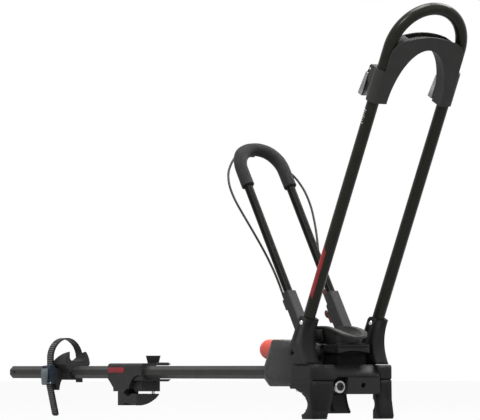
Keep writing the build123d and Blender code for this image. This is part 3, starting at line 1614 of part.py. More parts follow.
with BuildPart() as thumb_lever:
    with BuildSketch(hoop_side(-small_lean_angle, small_half)):
        with Locations((thumb_ahead, thumb_along)):
            Circle(thumb_r)
        with Locations((thumb_ahead + thumb_r, thumb_along)):
            Rectangle(2 * thumb_r, 3 * thumb_r, mode=Mode.SUBTRACT)
        with Locations((thumb_pivot_ahead - thumb_pin_r, thumb_pivot_along)):
            Circle(2 * thumb_pin_r)
        with Locations((thumb_ahead - thumb_pin_r / 2, (thumb_along + thumb_pivot_along) / 2)):
            Rectangle(thumb_pin_r, thumb_pivot_along - thumb_along)
    extrude(amount=thumb_half, both=True)
    with Locations(
        hoop_side(-small_lean_angle, small_half) * Location((thumb_pivot_ahead - thumb_pin_r, thumb_pivot_along, 0))
    ):
        Cylinder(thumb_pin_r + run_fit, 3 * pawl_half, mode=Mode.SUBTRACT)
save(thumb_lever, "thumb_lever")

# Rear clamp: a body that slides on the tray bar, with a lower jaw pulled up by a knob

with BuildPart() as rear_clamp_body:
    with BuildSketch(Plane.YZ.offset(clamp_rear_x)):
        with Locations((0, bar_z)):
            RectangleRounded(2 * clamp_half, 2 * clamp_half, clamp_edge_r)
    extrude(amount=clamp_front_x - clamp_rear_x)
    chamfer(rear_clamp_body.faces().sort_by(Axis.X)[0].edges(), foot_edge_r)
    # Funnel down to the upper jaw
    with BuildSketch(Plane.XZ.offset(-upper_jaw_far_y)):
        with BuildLine():
            Polyline(
                (clamp_rear_x + clamp_edge_r, bar_z),
                (clamp_rear_x + clamp_edge_r, channel_bottom_z),
                (upper_jaw_rear_x - funnel_step, upper_jaw_z + clamp_edge_r),
                (upper_jaw_rear_x - funnel_step, upper_jaw_z),
                (upper_jaw_front_x, upper_jaw_z),
                (upper_jaw_front_x, channel_bottom_z + channel_t),
                (clamp_front_x - clamp_edge_r, bar_z),
                close=True,
            )
        make_face()
    extrude(amount=upper_jaw_far_y + clamp_half)
    # Far side channel that carries the rod
    with BuildSketch(Plane.YZ.offset(channel_rear_x)):
        with BuildLine():
            Polyline(
                (0, channel_top_z),
                (channel_y, channel_top_z),
                (channel_y, channel_top_z - channel_t),
                (clamp_half, channel_top_z - channel_t),
                (clamp_half, channel_bottom_z + channel_t),
                (channel_y, channel_bottom_z + channel_t),
                (channel_y, channel_bottom_z),
                (0, channel_bottom_z),
                close=True,
            )
        make_face()
    extrude(amount=clamp_front_x - channel_rear_x)
    # Spine that guides the lower jaw
    with BuildSketch(Plane.XY.offset(upper_jaw_z)):
        with Locations(((upper_jaw_rear_x + spine_front_x) / 2, 0)):
            Rectangle(spine_front_x - upper_jaw_rear_x, 2 * clamp_half)
    extrude(amount=spine_bottom_z - upper_jaw_z)
    with BuildSketch(Plane.XY.offset(upper_jaw_z)):
        with Locations((spine_front_x, 0)):
            Rectangle(2 * (tongue_depth + side_gap), 2 * (tongue_half + side_gap))
    extrude(amount=spine_bottom_z - upper_jaw_z - overrun, mode=Mode.SUBTRACT)
    # Shallow saddle over the crossbar
    with BuildSketch(Plane.XZ):
        with Locations((rear_seat_x, upper_jaw_z)):
            Ellipse(rear_seat_half, rear_seat_depth)
    extrude(amount=channel_y, both=True, mode=Mode.SUBTRACT)
    # Hollow of the near face
    with BuildSketch(side_plane(-clamp_half - overrun)):
        with Locations((clamp_hollow_x, clamp_hollow_z)):
            Circle(clamp_hollow_r)
    extrude(amount=-clamp_hollow_depth - overrun, mode=Mode.SUBTRACT)
    with BuildSketch(side_plane(-clamp_half)):
        with Locations((clamp_hollow_x, clamp_hollow_z)):
            Circle(clamp_hollow_r)
        with Locations((clamp_hollow_x, channel_bottom_z + clamp_hollow_r)):
            Rectangle(4 * clamp_hollow_r, 2 * clamp_hollow_r, mode=Mode.SUBTRACT)
    extrude(amount=-clamp_hollow_deep, mode=Mode.SUBTRACT)
    # Passage of the bar
    with BuildSketch(Plane.YZ.offset(clamp_rear_x - overrun)):
        with Locations((0, bar_z)):
            RegularPolygon(
                bar_flats / 2 + slide_gap, bar_sides, major_radius=False, rotation=180 / bar_sides
            )
    extrude(amount=clamp_front_x - clamp_rear_x + 2 * overrun, mode=Mode.SUBTRACT)
    # Bores of the rod and of the knob's neck
    with Locations((rod_x, rod_y, bar_z)):
        Cylinder(rod_r + side_gap, 3 * bar_z, mode=Mode.SUBTRACT)
    with Locations((rod_x, rod_y, channel_top_z)):
        Cylinder(clamp_knob_neck_r + run_fit, 4 * channel_t, mode=Mode.SUBTRACT)
save(rear_clamp_body, "rear_clamp_body")

with BuildPart() as rear_jaw:
    with BuildSketch(Plane.YZ.offset(spine_front_x + side_gap)):
        with BuildLine():
            Polyline(
                (-clamp_half, lower_jaw_toe_z),
                (-clamp_half, lower_jaw_top_z),
                (upper_jaw_far_y, lower_jaw_top_z),
                (upper_jaw_far_y, lower_jaw_tip_z),
            )
            ThreePointArc(
                (upper_jaw_far_y, lower_jaw_tip_z),
                (lower_jaw_belly_y, lower_jaw_belly_z),
                (-clamp_half, lower_jaw_toe_z),
            )
        make_face()
    extrude(amount=lower_jaw_front_x - spine_front_x - side_gap)
    # Belly that rises to the rear
    with BuildSketch(Plane.XZ):
        with BuildLine():
            Polyline(
                (spine_front_x, lower_jaw_heel_z),
                (lower_jaw_front_x, lower_jaw_toe_z),
                (lower_jaw_front_x, 4 * lower_jaw_toe_z),
                (spine_front_x, 4 * lower_jaw_toe_z),
                close=True,
            )
        make_face()
    extrude(amount=channel_y, both=True, mode=Mode.SUBTRACT)
    with BuildSketch(Plane.XY.offset(lower_jaw_heel_z)):
        with Locations((spine_front_x, 0)):
            Rectangle(2 * tongue_depth, 2 * tongue_half)
    extrude(amount=lower_jaw_top_z - lower_jaw_heel_z)
    with BuildSketch(Plane.XZ):
        with Locations((rear_seat_x, lower_jaw_top_z)):
            Ellipse(rear_seat_half, rear_seat_depth)
    extrude(amount=channel_y, both=True, mode=Mode.SUBTRACT)
    with Locations((rod_x, rod_y, lower_jaw_top_z)):
        Cylinder(rod_r + seat_gap, 4 * lower_jaw_top_z, mode=Mode.SUBTRACT)
    with BuildSketch(Plane.XY.offset(rod_nut_top_z)):
        with Locations((rod_x, rod_y)):
            RegularPolygon(rod_nut_flats / 2 + seat_gap, 6, major_radius=False)
    extrude(amount=-3 * rod_nut_t, mode=Mode.SUBTRACT)
save(rear_jaw, "rear_jaw")

with BuildPart() as clamp_rod:
    with BuildSketch(Plane.XY.offset(rod_nut_top_z - rod_nut_t)):
        with Locations((rod_x, rod_y)):
            RegularPolygon(rod_nut_flats / 2, 6, major_radius=False)
    extrude(amount=rod_nut_t)
    with BuildSketch(Plane.XY.offset(rod_nut_top_z)):
        with Locations((rod_x, rod_y)):
            Circle(rod_r)
    extrude(amount=rod_top_z - rod_nut_top_z)
save(clamp_rod, "clamp_rod")

with BuildPart() as clamp_knob:
    with BuildSketch(Plane.XY.offset(channel_top_z + side_gap)):
        with Locations((rod_x, rod_y)):
            Circle(clamp_knob_hub_r)
            with PolarLocations(clamp_knob_r - clamp_knob_lobe_r, clamp_knob_lobes, start_angle=20):
                Circle(clamp_knob_lobe_r)
    extrude(amount=clamp_knob_top_z - channel_top_z - side_gap, taper=clamp_knob_taper)
    with BuildSketch(Plane.XY.offset(clamp_knob_neck_z)):
        with Locations((rod_x, rod_y)):
            Circle(clamp_knob_neck_r)
    extrude(amount=channel_top_z + channel_t - clamp_knob_neck_z)
    with BuildSketch(Plane.XY.offset(clamp_knob_neck_z)):
        with Locations((rod_x, rod_y)):
            Circle(rod_r + run_fit)
    extrude(amount=rod_top_z + side_gap - clamp_knob_neck_z, mode=Mode.SUBTRACT)
save(clamp_knob, "clamp_knob")

# Wheel chock that slides on the tray bar

arm_out_y = strap_half - strap_t / 2 - seat_gap
with BuildPart() as wheel_chock:
    with BuildSketch(Plane.YZ.offset(chock_rear_x)):
        with Locations((0, bar_z)):
            RectangleRounded(2 * chock_half, 2 * chock_half, chock_edge_r)
    extrude(amount=chock_front_x - chock_rear_x)
    # Trough of two fins
    with BuildSketch(Plane.YZ.offset(fin_rear_x)):
        with BuildLine():
            Line((-fin_floor_half, fin_floor_z), (fin_floor_half, fin_floor_z))
            for k in both_sides:
                ThreePointArc(
                    (k * fin_floor_half, fin_floor_z),
                    (k * fin_curb_y, fin_curb_z),
                    (k * fin_peak_y, fin_wall_z),
                )
                Polyline(
                    (k * fin_peak_y, fin_wall_z),
                    (k * fin_peak_y, fin_peak_z),
                    (k * (fin_peak_y + fin_rim), fin_peak_z),
                )
                ThreePointArc(
                    (k * (fin_peak_y + fin_rim), fin_peak_z),
                    (k * fin_cheek_y, fin_cheek_z),
                    (k * fin_base_y, bar_z + chock_half),
                )
                Line((k * fin_base_y, bar_z + chock_half), (k * chock_half, bar_z))
            Line((-chock_half, bar_z), (chock_half, bar_z))
        make_face()
    extrude(amount=fin_front_x - fin_rear_x)
    with BuildSketch(Plane.XZ):
        with BuildLine():
            ThreePointArc(
                (fin_rear_x, fin_foot_z),
                (fin_front_x - fin_crest_back, fin_crest_z),
                (fin_front_x, fin_peak_z),
            )
            Polyline(
                (fin_front_x, fin_peak_z),
                (fin_front_x, fin_peak_z + overrun),
                (fin_rear_x - overrun, fin_peak_z + overrun),
                (fin_rear_x - overrun, fin_foot_z),
                (fin_rear_x, fin_foot_z),
            )
        make_face()
    extrude(amount=fin_base_y + overrun, both=True, mode=Mode.SUBTRACT)
    # Arms that hold the strap's anchor and the buckle
    with BuildSketch(Plane.YZ.offset(chock_x - arm_length_x / 2)):
        with BuildLine():
            Polyline(
                (chock_half - chock_edge_r, bar_z + chock_half / 2),
                (arm_out_y, arm_top_chock_z),
                (arm_out_y, arm_bottom_chock_z),
                (chock_half - chock_edge_r, bar_z - chock_half + chock_edge_r),
                close=True,
            )
            Polyline(
                (-chock_half + chock_edge_r, bar_z + chock_half / 2),
                (-arm_out_y + seat_gap, arm_top_chock_z),
                (-arm_out_y + seat_gap, arm_bottom_chock_z),
                (-fin_base_y + fin_rim, gusset_bottom_z),
                (-fin_peak_y - fin_rim, gusset_bottom_z),
                (-chock_half + chock_edge_r, bar_z - chock_half + chock_edge_r),
                close=True,
            )
        make_face()
    extrude(amount=arm_length_x)
    # Passage of the bar
    with BuildSketch(Plane.YZ.offset(chock_rear_x - overrun)):
        with Locations((0, bar_z)):
            RegularPolygon(
                bar_flats / 2 + chock_slot_gap, bar_sides, major_radius=False, rotation=180 / bar_sides
            )
    extrude(amount=fin_front_x - chock_rear_x + 2 * overrun, mode=Mode.SUBTRACT)
    with Locations(Plane.XZ * Location((chock_x, strap_anchor_z + anchor_head_r * 2, -arm_out_y))):
        Cylinder(anchor_screw_r, 2 * fin_rim + 2 * anchor_head_r, mode=Mode.SUBTRACT)
save(wheel_chock, "wheel_chock")

# Ladder strap over the tyre

strap_rise = strap_top_z - strap_spring_z
side_r = (strap_half**2 + (strap_rise - strap_crown_r) ** 2 - strap_crown_r**2) / (
    2 * (strap_half - strap_crown_r)
)
crown_turn = degrees(atan2(strap_rise - strap_crown_r, side_r - strap_half))

with BuildPart() as tyre_strap:
    with BuildLine(Plane.YZ.offset(chock_x)) as strap_path:
        Line((strap_half, strap_anchor_z), (strap_half, strap_spring_z))
        CenterArc((strap_half - side_r, strap_spring_z), side_r, 0, crown_turn)
        CenterArc((0, strap_top_z - strap_crown_r), strap_crown_r, crown_turn, 180 - 2 * crown_turn)
        CenterArc((side_r - strap_half, strap_spring_z), side_r, 180 - crown_turn, crown_turn)
        FilletPolyline((-strap_half, strap_spring_z), *strap_tail, radius=strap_bend_r)
    with BuildSketch(Plane(origin=strap_path.line @ 0, x_dir=(1, 0, 0), z_dir=strap_path.line % 0)):
        Rectangle(strap_width, strap_t)
    sweep(path=strap_path.line)
    with Locations(Plane.XZ * Location((chock_x, strap_anchor_z + anchor_head_r * 2, -strap_half))):
        Cylinder(anchor_screw_r + seat_gap, 3 * strap_t, mode=Mode.SUBTRACT)
    # Rungs down the outside of the tail
    tail_low, tail_high = Vector(*strap_tail[-1]), Vector(*strap_tail[-2])
    tail_dir = (tail_high - tail_low).normalized()
    tail_out = Vector(-tail_dir.Y, tail_dir.X)
    for k in range(rung_count - 12):
        spot = tail_low + tail_dir * (k + 2) * rung_pitch + tail_out * (strap_t / 2)
        with Locations(
            Plane(
                origin=(chock_x, spot.X, spot.Y), x_dir=(1, 0, 0), z_dir=(0, tail_dir.X, tail_dir.Y)
            ).location
        ):
            Box(rung_width, 2 * rung_t, rung_pitch / 2)
save(tyre_strap, "tyre_strap")

with BuildPart() as anchor_screw:
    with BuildSketch(Plane.XZ.offset(-strap_half - strap_t / 2)):
        with Locations((chock_x, strap_anchor_z + anchor_head_r * 2)):
            Circle(anchor_head_r)
    extrude(amount=-anchor_head_t)
    with BuildSketch(Plane.XZ.offset(-strap_half - strap_t / 2)):
        with Locations((chock_x, strap_anchor_z + anchor_head_r * 2)):
            Circle(anchor_screw_r - seat_gap)
    extrude(amount=strap_t + anchor_head_r + anchor_head_t)
save(anchor_screw, "anchor_screw")

# Buckle on the near arm, with its lever

buckle_in_y = -arm_out_y + seat_gap
pocket_half = buckle_lever_half_x + side_gap
with BuildPart() as buckle_base:
    with BuildSketch(Plane.YZ.offset(chock_x - buckle_half_x)):
        with BuildLine():
            Polyline(
                (buckle_in_y, buckle_top_z),
                (buckle_outer_y, buckle_top_z - buckle_edge_r),
                (buckle_outer_y, buckle_bottom_z),
                (buckle_in_y, buckle_bottom_z + buckle_edge_r),
                close=True,
            )
        make_face()
    extrude(amount=2 * buckle_half_x)
    # Way of the strap through the buckle
    with BuildLine(Plane.YZ.offset(chock_x)) as strap_way:
        FilletPolyline((-strap_half, strap_spring_z), *strap_tail, radius=strap_bend_r)
    with BuildSketch(Plane(origin=strap_way.line @ 0, x_dir=(1, 0, 0), z_dir=strap_way.line % 0)):
        Rectangle(strap_width + 2 * slide_gap, strap_t + 2 * slide_gap)
    sweep(path=strap_way.line, mode=Mode.SUBTRACT)
    # Pocket of the lever, and the bore of its pin
    with BuildSketch(Plane.YZ.offset(chock_x)):
        with Locations((buckle_pivot_y, buckle_pivot_z)):
            Circle(buckle_hub_r + side_gap)
        with Locations((buckle_pivot_y - buckle_hub_r, (buckle_top_z + buckle_pivot_z) / 2)):
            Rectangle(2 * buckle_hub_r, 2 * (buckle_top_z - buckle_pivot_z))
    extrude(amount=pocket_half, both=True, mode=Mode.SUBTRACT)
    with Locations(Plane.YZ * Location((buckle_pivot_y, buckle_pivot_z, chock_x))):
        Cylinder(buckle_pin_r + seat_gap / 2, 3 * buckle_half_x, mode=Mode.SUBTRACT)
save(buckle_base, "buckle_base")

with BuildPart() as buckle_pin:
    with BuildSketch(Plane.YZ.offset(chock_x)):
        with Locations((buckle_pivot_y, buckle_pivot_z)):
            Circle(buckle_pin_r)
    extrude(amount=buckle_half_x, both=True)
save(buckle_pin, "buckle_pin")

with BuildPart() as buckle_lever:
    with BuildSketch(Plane.YZ.offset(chock_x)):
        with BuildLine():
            Polyline(
                (buckle_lever_in_y, buckle_lever_top_z),
                (buckle_lever_out_y + buckle_edge_r, buckle_lever_top_z),
                (buckle_lever_out_y, buckle_lever_top_z - buckle_edge_r),
                (buckle_lever_out_y + buckle_edge_r / 2, buckle_lever_bottom_z),
                (buckle_pivot_y - buckle_pin_r, buckle_lever_bottom_z),
                (buckle_pivot_y, buckle_pivot_z),
                close=True,
            )
        make_face()
        with Locations((buckle_pivot_y, buckle_pivot_z)):
            Circle(buckle_hub_r)
    extrude(amount=buckle_lever_half_x, both=True)
    with Locations(Plane.YZ * Location((buckle_pivot_y, buckle_pivot_z, chock_x))):
        Cylinder(buckle_pin_r + run_fit, 3 * buckle_half_x, mode=Mode.SUBTRACT)
save(buckle_lever, "buckle_lever")
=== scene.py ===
"""Roof mounted bike carrier: finishes, soft grip, marks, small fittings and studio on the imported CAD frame.

Everything is in metres, in the frame of the CAD: +X to the front of the vehicle, +Z up,
and the near side is -Y. Where a class holds millimetres, it says so.
"""

import json
import logging
import math
from collections.abc import Callable, Iterator
from contextlib import contextmanager
from dataclasses import dataclass
from enum import Enum
from typing import NamedTuple

import bmesh
import bpy
from mathutils import Matrix, Vector

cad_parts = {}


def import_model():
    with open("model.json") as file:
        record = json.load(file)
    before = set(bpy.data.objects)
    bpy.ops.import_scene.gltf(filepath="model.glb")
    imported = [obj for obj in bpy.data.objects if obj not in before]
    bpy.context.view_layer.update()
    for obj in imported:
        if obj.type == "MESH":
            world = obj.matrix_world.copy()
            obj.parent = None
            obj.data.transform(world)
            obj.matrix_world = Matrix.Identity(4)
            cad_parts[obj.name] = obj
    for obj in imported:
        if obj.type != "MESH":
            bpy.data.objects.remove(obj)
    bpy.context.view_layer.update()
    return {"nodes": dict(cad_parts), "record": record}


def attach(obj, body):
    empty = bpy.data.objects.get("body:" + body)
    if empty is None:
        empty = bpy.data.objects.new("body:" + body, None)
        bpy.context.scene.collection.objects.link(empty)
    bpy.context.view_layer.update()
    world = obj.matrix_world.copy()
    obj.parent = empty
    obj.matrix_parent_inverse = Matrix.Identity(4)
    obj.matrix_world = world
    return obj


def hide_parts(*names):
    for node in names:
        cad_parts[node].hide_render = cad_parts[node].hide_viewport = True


log = logging.getLogger("bike_carrier")

MM = 0.001
WHITE = (1.0, 1.0, 1.0, 1.0)

# The axle that both hoops turn on, and how many degrees each leans forward.
PIVOT = Vector((-38.0, 0.0, 110.0)) * MM
TALL_LEAN = 27.1
SMALL_LEAN = -32.9

# The angle in degrees from which an edge is drawn sharp, and how squarely a face looks one way.
SMOOTH_ANGLE = 40.0
FACING = 0.9


class Cloud(NamedTuple):
    """A soft noise over a surface: its scale and detail, and where its effect starts and is full."""

    scale: float
    detail: float
    low: float
    high: float


HAZE = Cloud(scale=150.0, detail=3.0, low=0.3, high=0.7)
RUBS = Cloud(scale=210.0, detail=4.0, low=0.42, high=0.62)
DRIFT = Cloud(scale=38.0, detail=6.0, low=0.35, high=0.68)

# How the nodes of every finish are set: gloss, rubbed edges, painted shade in recesses and below a height,
# and grain.
METAL_FROM = 0.5
DIELECTRIC_GLOSS = 0.55
COAT_ROUGHNESS = 0.12
SHEEN_ROUGHNESS = 0.5
EDGE_RADIUS = 0.9 * MM
EDGE_SAMPLES = 4
EDGE_FLAT = 0.93
EDGE_SHARP = 0.8
# Painted shade in recesses: ambient occlusion darkens the base colour there.
RECESS_SHADE_REACH = 0.07
RECESS_SHADE_SAMPLES = 4
RECESS_SHADE_DEEP = 0.25
RECESS_SHADE_OPEN = 0.85
# Painted shade below a height: how far it fades in, and the share of the colour that is left.
UNDER_SHADE_FADE = 3.0 * MM
UNDER_SHADE_SHARE = 0.35
GRAIN_DETAIL = 3.0
GRAIN_DEPTH = 3.0
SOFTEN_SAMPLES = 6

# The sockets of a Mix node for colours, whose names repeat, by number.
MIX_FACTOR = 0
MIX_A = 6
MIX_B = 7
MIX_RESULT = 2


class Graph:
    """The nodes of one material or of the world, with short ways to add to them."""

    def __init__(self, owner: bpy.types.Material | bpy.types.World) -> None:
        """Take hold of the nodes.

        Args:
            owner: the material or the world.
        """
        owner.use_nodes = True
        self.nodes = owner.node_tree.nodes
        self.links = owner.node_tree.links

    def feed(self, node: bpy.types.Node, inputs: dict[str | int, object]) -> None:
        """Link or set inputs of a node.

        Args:
            node: the node.
            inputs: by name or number, the socket to link or the constant to set.
        """
        for key, value in inputs.items():
            if isinstance(value, bpy.types.NodeSocket):
                self.links.new(value, node.inputs[key])
            else:
                node.inputs[key].default_value = value

    def add(
        self, kind: str, result: str | int, inputs: dict[str | int, object], **settings: str | int
    ) -> bpy.types.NodeSocket:
        """Add a node.

        Args:
            kind: its type, without the leading ShaderNode.
            result: the output that is wanted, by name or number.
            inputs: what its inputs take.
            settings: its own settings, such as its operation.

        Returns:
            The wanted output.
        """
        made = self.nodes.new(f"ShaderNode{kind}")
        for key, value in settings.items():
            setattr(made, key, value)
        self.feed(made, inputs)
        return made.outputs[result]

    def noise(self, scale: float, detail: float, place: bpy.types.NodeSocket) -> bpy.types.NodeSocket:
        """Add a noise.

        Args:
            scale: its scale.
            detail: its detail.
            place: the coordinates that it lies on.

        Returns:
            Its value.
        """
        return self.add("TexNoise", "Fac", {"Vector": place, "Scale": scale, "Detail": detail})

    def spread(
        self, value: bpy.types.NodeSocket, low: float, high: float, least: float = 0.0, most: float = 1.0
    ) -> bpy.types.NodeSocket:
        """Map one range of a value to another.

        Args:
            value: the value.
            low: the value that gives least.
            high: the value that gives most.
            least: the result at low.
            most: the result at high.

        Returns:
            The mapped value.
        """
        ends = {"From Min": low, "From Max": high, "To Min": least, "To Max": most}
        return self.add("MapRange", "Result", {"Value": value, **ends})

    def math(
        self, operation: str, first: bpy.types.NodeSocket, second: bpy.types.NodeSocket | float
    ) -> bpy.types.NodeSocket:
        """Work out one value from two.

        Args:
            operation: how, as a Math node names it.
            first: the first value.
            second: the second value.

        Returns:
            The result.
        """
        return self.add("Math", "Value", {0: first, 1: second}, operation=operation)


class Side(Enum):
    """A side of the carrier, with the sign of its Y."""

    NEAR = -1.0
    FAR = 1.0

    @property
    def word(self) -> str:
        """The side's name as the nodes and bodies have it."""
        return self.name.lower()


class Grain(Enum):
    """How the fine relief of a surface is laid."""

    MOULDED = "moulded"
    POWDER = "powder"
    FOAM = "foam"
    BRUSHED_Y = "brushed along the width"
    DRAWN_X = "drawn along the length"


EVEN_GRAIN = (1.0, 1.0, 1.0)
LONG_GRAINS = {Grain.BRUSHED_Y: (1.0, 0.04, 1.0), Grain.DRAWN_X: (0.03, 1.0, 1.0)}


@dataclass(frozen=True)
class Finish:
    """One finish of the carrier, made from procedural nodes.

    Args:
        name: the material's name.
        colour: base colour, linear.
        second: the tone that the base colour drifts to.
        roughness: lowest and highest roughness over the surface.
        grain: the kind of fine relief.
        grain_size: size of one grain, in metres.
        relief: strength of the relief, from 0 to 1.
        metallic: how metallic the surface is.
        specular: the specular level of the surface, before what plastics lose of it.
        coat: weight of a clear coat.
        sheen: weight of a soft sheen, for foam and rubber.
        worn: the tone of rubbed edges.
        wear: how much of the worn tone the edges take, from 0 to 1.
        recess_shade: how much painted shade darkens the colour in recesses, from 0 to 1.
        soften: radius in metres over which the edges catch the light.
        shaded_below: height in metres under which painted shade darkens the colour, or 0 for none.
    """

    name: str
    colour: tuple[float, float, float]
    second: tuple[float, float, float]
    roughness: tuple[float, float]
    grain: Grain
    grain_size: float
    relief: float
    metallic: float = 0.0
    specular: float = 0.3
    coat: float = 0.0
    sheen: float = 0.0
    worn: tuple[float, float, float] = (0.07, 0.07, 0.072)
    wear: float = 0.35
    recess_shade: float = 0.0
    soften: float = 0.0
    shaded_below: float = 0.0

    def material(self) -> bpy.types.Material:
        """The material of this finish, made once.

        Returns:
            The Blender material.
        """
        known = bpy.data.materials.get(self.name)
        if known is not None:
            return known
        made = bpy.data.materials.new(self.name)
        graph = Graph(made)
        place = graph.add("TexCoord", "Object", {})
        haze = graph.noise(HAZE.scale, HAZE.detail, place)
        gloss = 1.0 if self.metallic > METAL_FROM else DIELECTRIC_GLOSS
        graph.feed(
            graph.nodes["Principled BSDF"],
            {
                "Metallic": self.metallic,
                "Specular IOR Level": self.specular * gloss,
                "Coat Weight": self.coat,
                "Coat Roughness": COAT_ROUGHNESS,
                "Sheen Weight": self.sheen,
                "Sheen Roughness": SHEEN_ROUGHNESS,
                "Base Color": self._tone(graph, place),
                "Roughness": graph.spread(haze, HAZE.low, HAZE.high, *self.roughness),
                "Normal": self._relief(graph, place),
            },
        )
        return made

    def _edges(self, graph: Graph, place: bpy.types.NodeSocket) -> bpy.types.NodeSocket:
        """Find the edges of the piece and break them up, for wear.

        Args:
            graph: the material's nodes.
            place: the object coordinates.

        Returns:
            A value that rises to the finish's wear on a rubbed edge and is 0 elsewhere.
        """
        rounded = graph.add("Bevel", "Normal", {"Radius": EDGE_RADIUS}, samples=EDGE_SAMPLES)
        flat = graph.add("NewGeometry", "Normal", {})
        turn = graph.add("VectorMath", "Value", {0: rounded, 1: flat}, operation="DOT_PRODUCT")
        patches = graph.noise(RUBS.scale, RUBS.detail, place)
        spots = graph.spread(patches, RUBS.low, RUBS.high, 0.0, self.wear)
        return graph.math("MULTIPLY", graph.spread(turn, EDGE_FLAT, EDGE_SHARP), spots)

    def _tone(self, graph: Graph, place: bpy.types.NodeSocket) -> bpy.types.NodeSocket:
        """Lay the drifting colour, the worn edges, and the painted shade in recesses and below a height.

        Args:
            graph: the material's nodes.
            place: the object coordinates.

        Returns:
            The colour.
        """
        tone = graph.nodes.new("ShaderNodeValToRGB")
        first, last = tone.color_ramp.elements
        first.position = DRIFT.low
        first.color = (*self.colour, 1.0)
        last.position = DRIFT.high
        last.color = (*self.second, 1.0)
        graph.feed(tone, {"Fac": graph.noise(DRIFT.scale, DRIFT.detail, place)})
        rubbed = self._edges(graph, place)
        blend = {MIX_FACTOR: rubbed, MIX_A: tone.outputs["Color"], MIX_B: (*self.worn, 1.0)}
        worn = graph.add("Mix", MIX_RESULT, blend, data_type="RGBA")
        if self.recess_shade == 0.0:
            return worn
        # Painted shade: ambient occlusion darkens the colour in recesses.
        recess = graph.add("AmbientOcclusion", "AO", {"Distance": RECESS_SHADE_REACH}, samples=RECESS_SHADE_SAMPLES)
        shade = graph.spread(recess, RECESS_SHADE_DEEP, RECESS_SHADE_OPEN, 1.0 - self.recess_shade)
        # Painted shade below a height: on the cradle, the shade that falls on its lower part.
        height = graph.add("SeparateXYZ", "Z", {"Vector": place})
        deepest_shade = 1.0 if self.shaded_below == 0.0 else UNDER_SHADE_SHARE
        level = graph.spread(height, self.shaded_below - UNDER_SHADE_FADE, self.shaded_below, deepest_shade)
        depth = graph.math("MULTIPLY", shade, level)
        return graph.add("VectorMath", "Vector", {0: worn, "Scale": depth}, operation="SCALE")

    def _relief(self, graph: Graph, place: bpy.types.NodeSocket) -> bpy.types.NodeSocket:
        """Add the fine relief of the finish's grain.

        Args:
            graph: the material's nodes.
            place: the object coordinates.

        Returns:
            The bumped normal.
        """
        stretch = LONG_GRAINS.get(self.grain, EVEN_GRAIN)
        laid = graph.add("Mapping", "Vector", {"Vector": place, "Scale": stretch})
        scale = 1.0 / self.grain_size
        if self.grain is Grain.FOAM:
            height = graph.add("TexVoronoi", "Distance", {"Vector": laid, "Scale": scale})
        else:
            height = graph.noise(scale, GRAIN_DETAIL, laid)
        inputs = {"Strength": self.relief, "Distance": self.grain_size / GRAIN_DEPTH, "Height": height}
        if self.soften > 0.0:
            inputs["Normal"] = graph.add("Bevel", "Normal", {"Radius": self.soften}, samples=SOFTEN_SAMPLES)
        return graph.add("Bump", "Normal", inputs)


TUBE_PAINT = Finish(
    "tube_paint", (0.0115, 0.0115, 0.0082), (0.0155, 0.0155, 0.0115), (0.22, 0.28),
    Grain.POWDER, 0.0015, 0.04, specular=0.25, wear=0.15,
)
# Painted shade: a darker copy of the tube paint, for the small hoop.
SMALL_TUBE_SHADED_PAINT = Finish(
    "small_tube_shaded_paint", (0.0035, 0.0035, 0.0026), (0.0055, 0.0055, 0.0042), (0.26, 0.32),
    Grain.POWDER, 0.0015, 0.04, specular=0.12, wear=0.15,
)
BAR_PAINT = Finish(
    "bar_paint", (0.021, 0.0215, 0.02), (0.026, 0.026, 0.025), (0.36, 0.46),
    Grain.DRAWN_X, 0.0012, 0.12,
)
MOULDED = Finish(
    "moulded_black", (0.018, 0.0185, 0.0178), (0.024, 0.0245, 0.0238), (0.5, 0.62),
    Grain.MOULDED, 0.0007, 0.3,
)
# Each finish with a hollow share below has painted shade: its colour is darker in recesses.
BRIDGE_BLACK = Finish(
    "bridge_black", (0.032, 0.032, 0.031), (0.038, 0.038, 0.0368), (0.5, 0.6),
    Grain.MOULDED, 0.0007, 0.25, recess_shade=0.55,
)
# Painted shade: the cradle is darker in recesses and below a height, where its lower part lies in shade.
CRADLE_BLACK = Finish(
    "cradle_black", (0.02, 0.0205, 0.019), (0.026, 0.0265, 0.025), (0.42, 0.52),
    Grain.MOULDED, 0.0008, 0.2, specular=0.38, recess_shade=0.8, soften=0.003, shaded_below=0.131,
)
HOUSING_BLACK = Finish(
    "housing_black", (0.0135, 0.0139, 0.0135), (0.018, 0.0185, 0.018), (0.38, 0.5),
    Grain.MOULDED, 0.0009, 0.2, specular=0.35, recess_shade=0.8, soften=0.024,
)
CASTING_BLACK = Finish(
    "casting_black", (0.0074, 0.0077, 0.0074), (0.0102, 0.0106, 0.0102), (0.4, 0.5),
    Grain.MOULDED, 0.0009, 0.2, recess_shade=0.7, soften=0.014,
)
FOOT_BLACK = Finish(
    "foot_black", (0.0046, 0.0049, 0.0047), (0.0072, 0.0076, 0.0073), (0.36, 0.46),
    Grain.MOULDED, 0.0009, 0.15, specular=0.25, recess_shade=0.6, soften=0.016,
)
# Painted shade: near black, for the sheets put where there is only shade.
SHADOW_BLACK = Finish(
    "shadow_black", (0.0028, 0.0029, 0.0028), (0.004, 0.0041, 0.004), (0.6, 0.7),
    Grain.MOULDED, 0.0008, 0.1, specular=0.1, wear=0.05,
)
SATIN_BLACK = Finish(
    "satin_black", (0.012, 0.0125, 0.012), (0.016, 0.0165, 0.016), (0.3, 0.4),
    Grain.MOULDED, 0.0006, 0.12, specular=0.35,
)
BLACKED_STEEL = Finish(
    "blacked_steel", (0.016, 0.016, 0.017), (0.024, 0.024, 0.025), (0.3, 0.4),
    Grain.POWDER, 0.0008, 0.1, metallic=0.6, specular=0.4, worn=(0.2, 0.2, 0.2), wear=0.5,
)
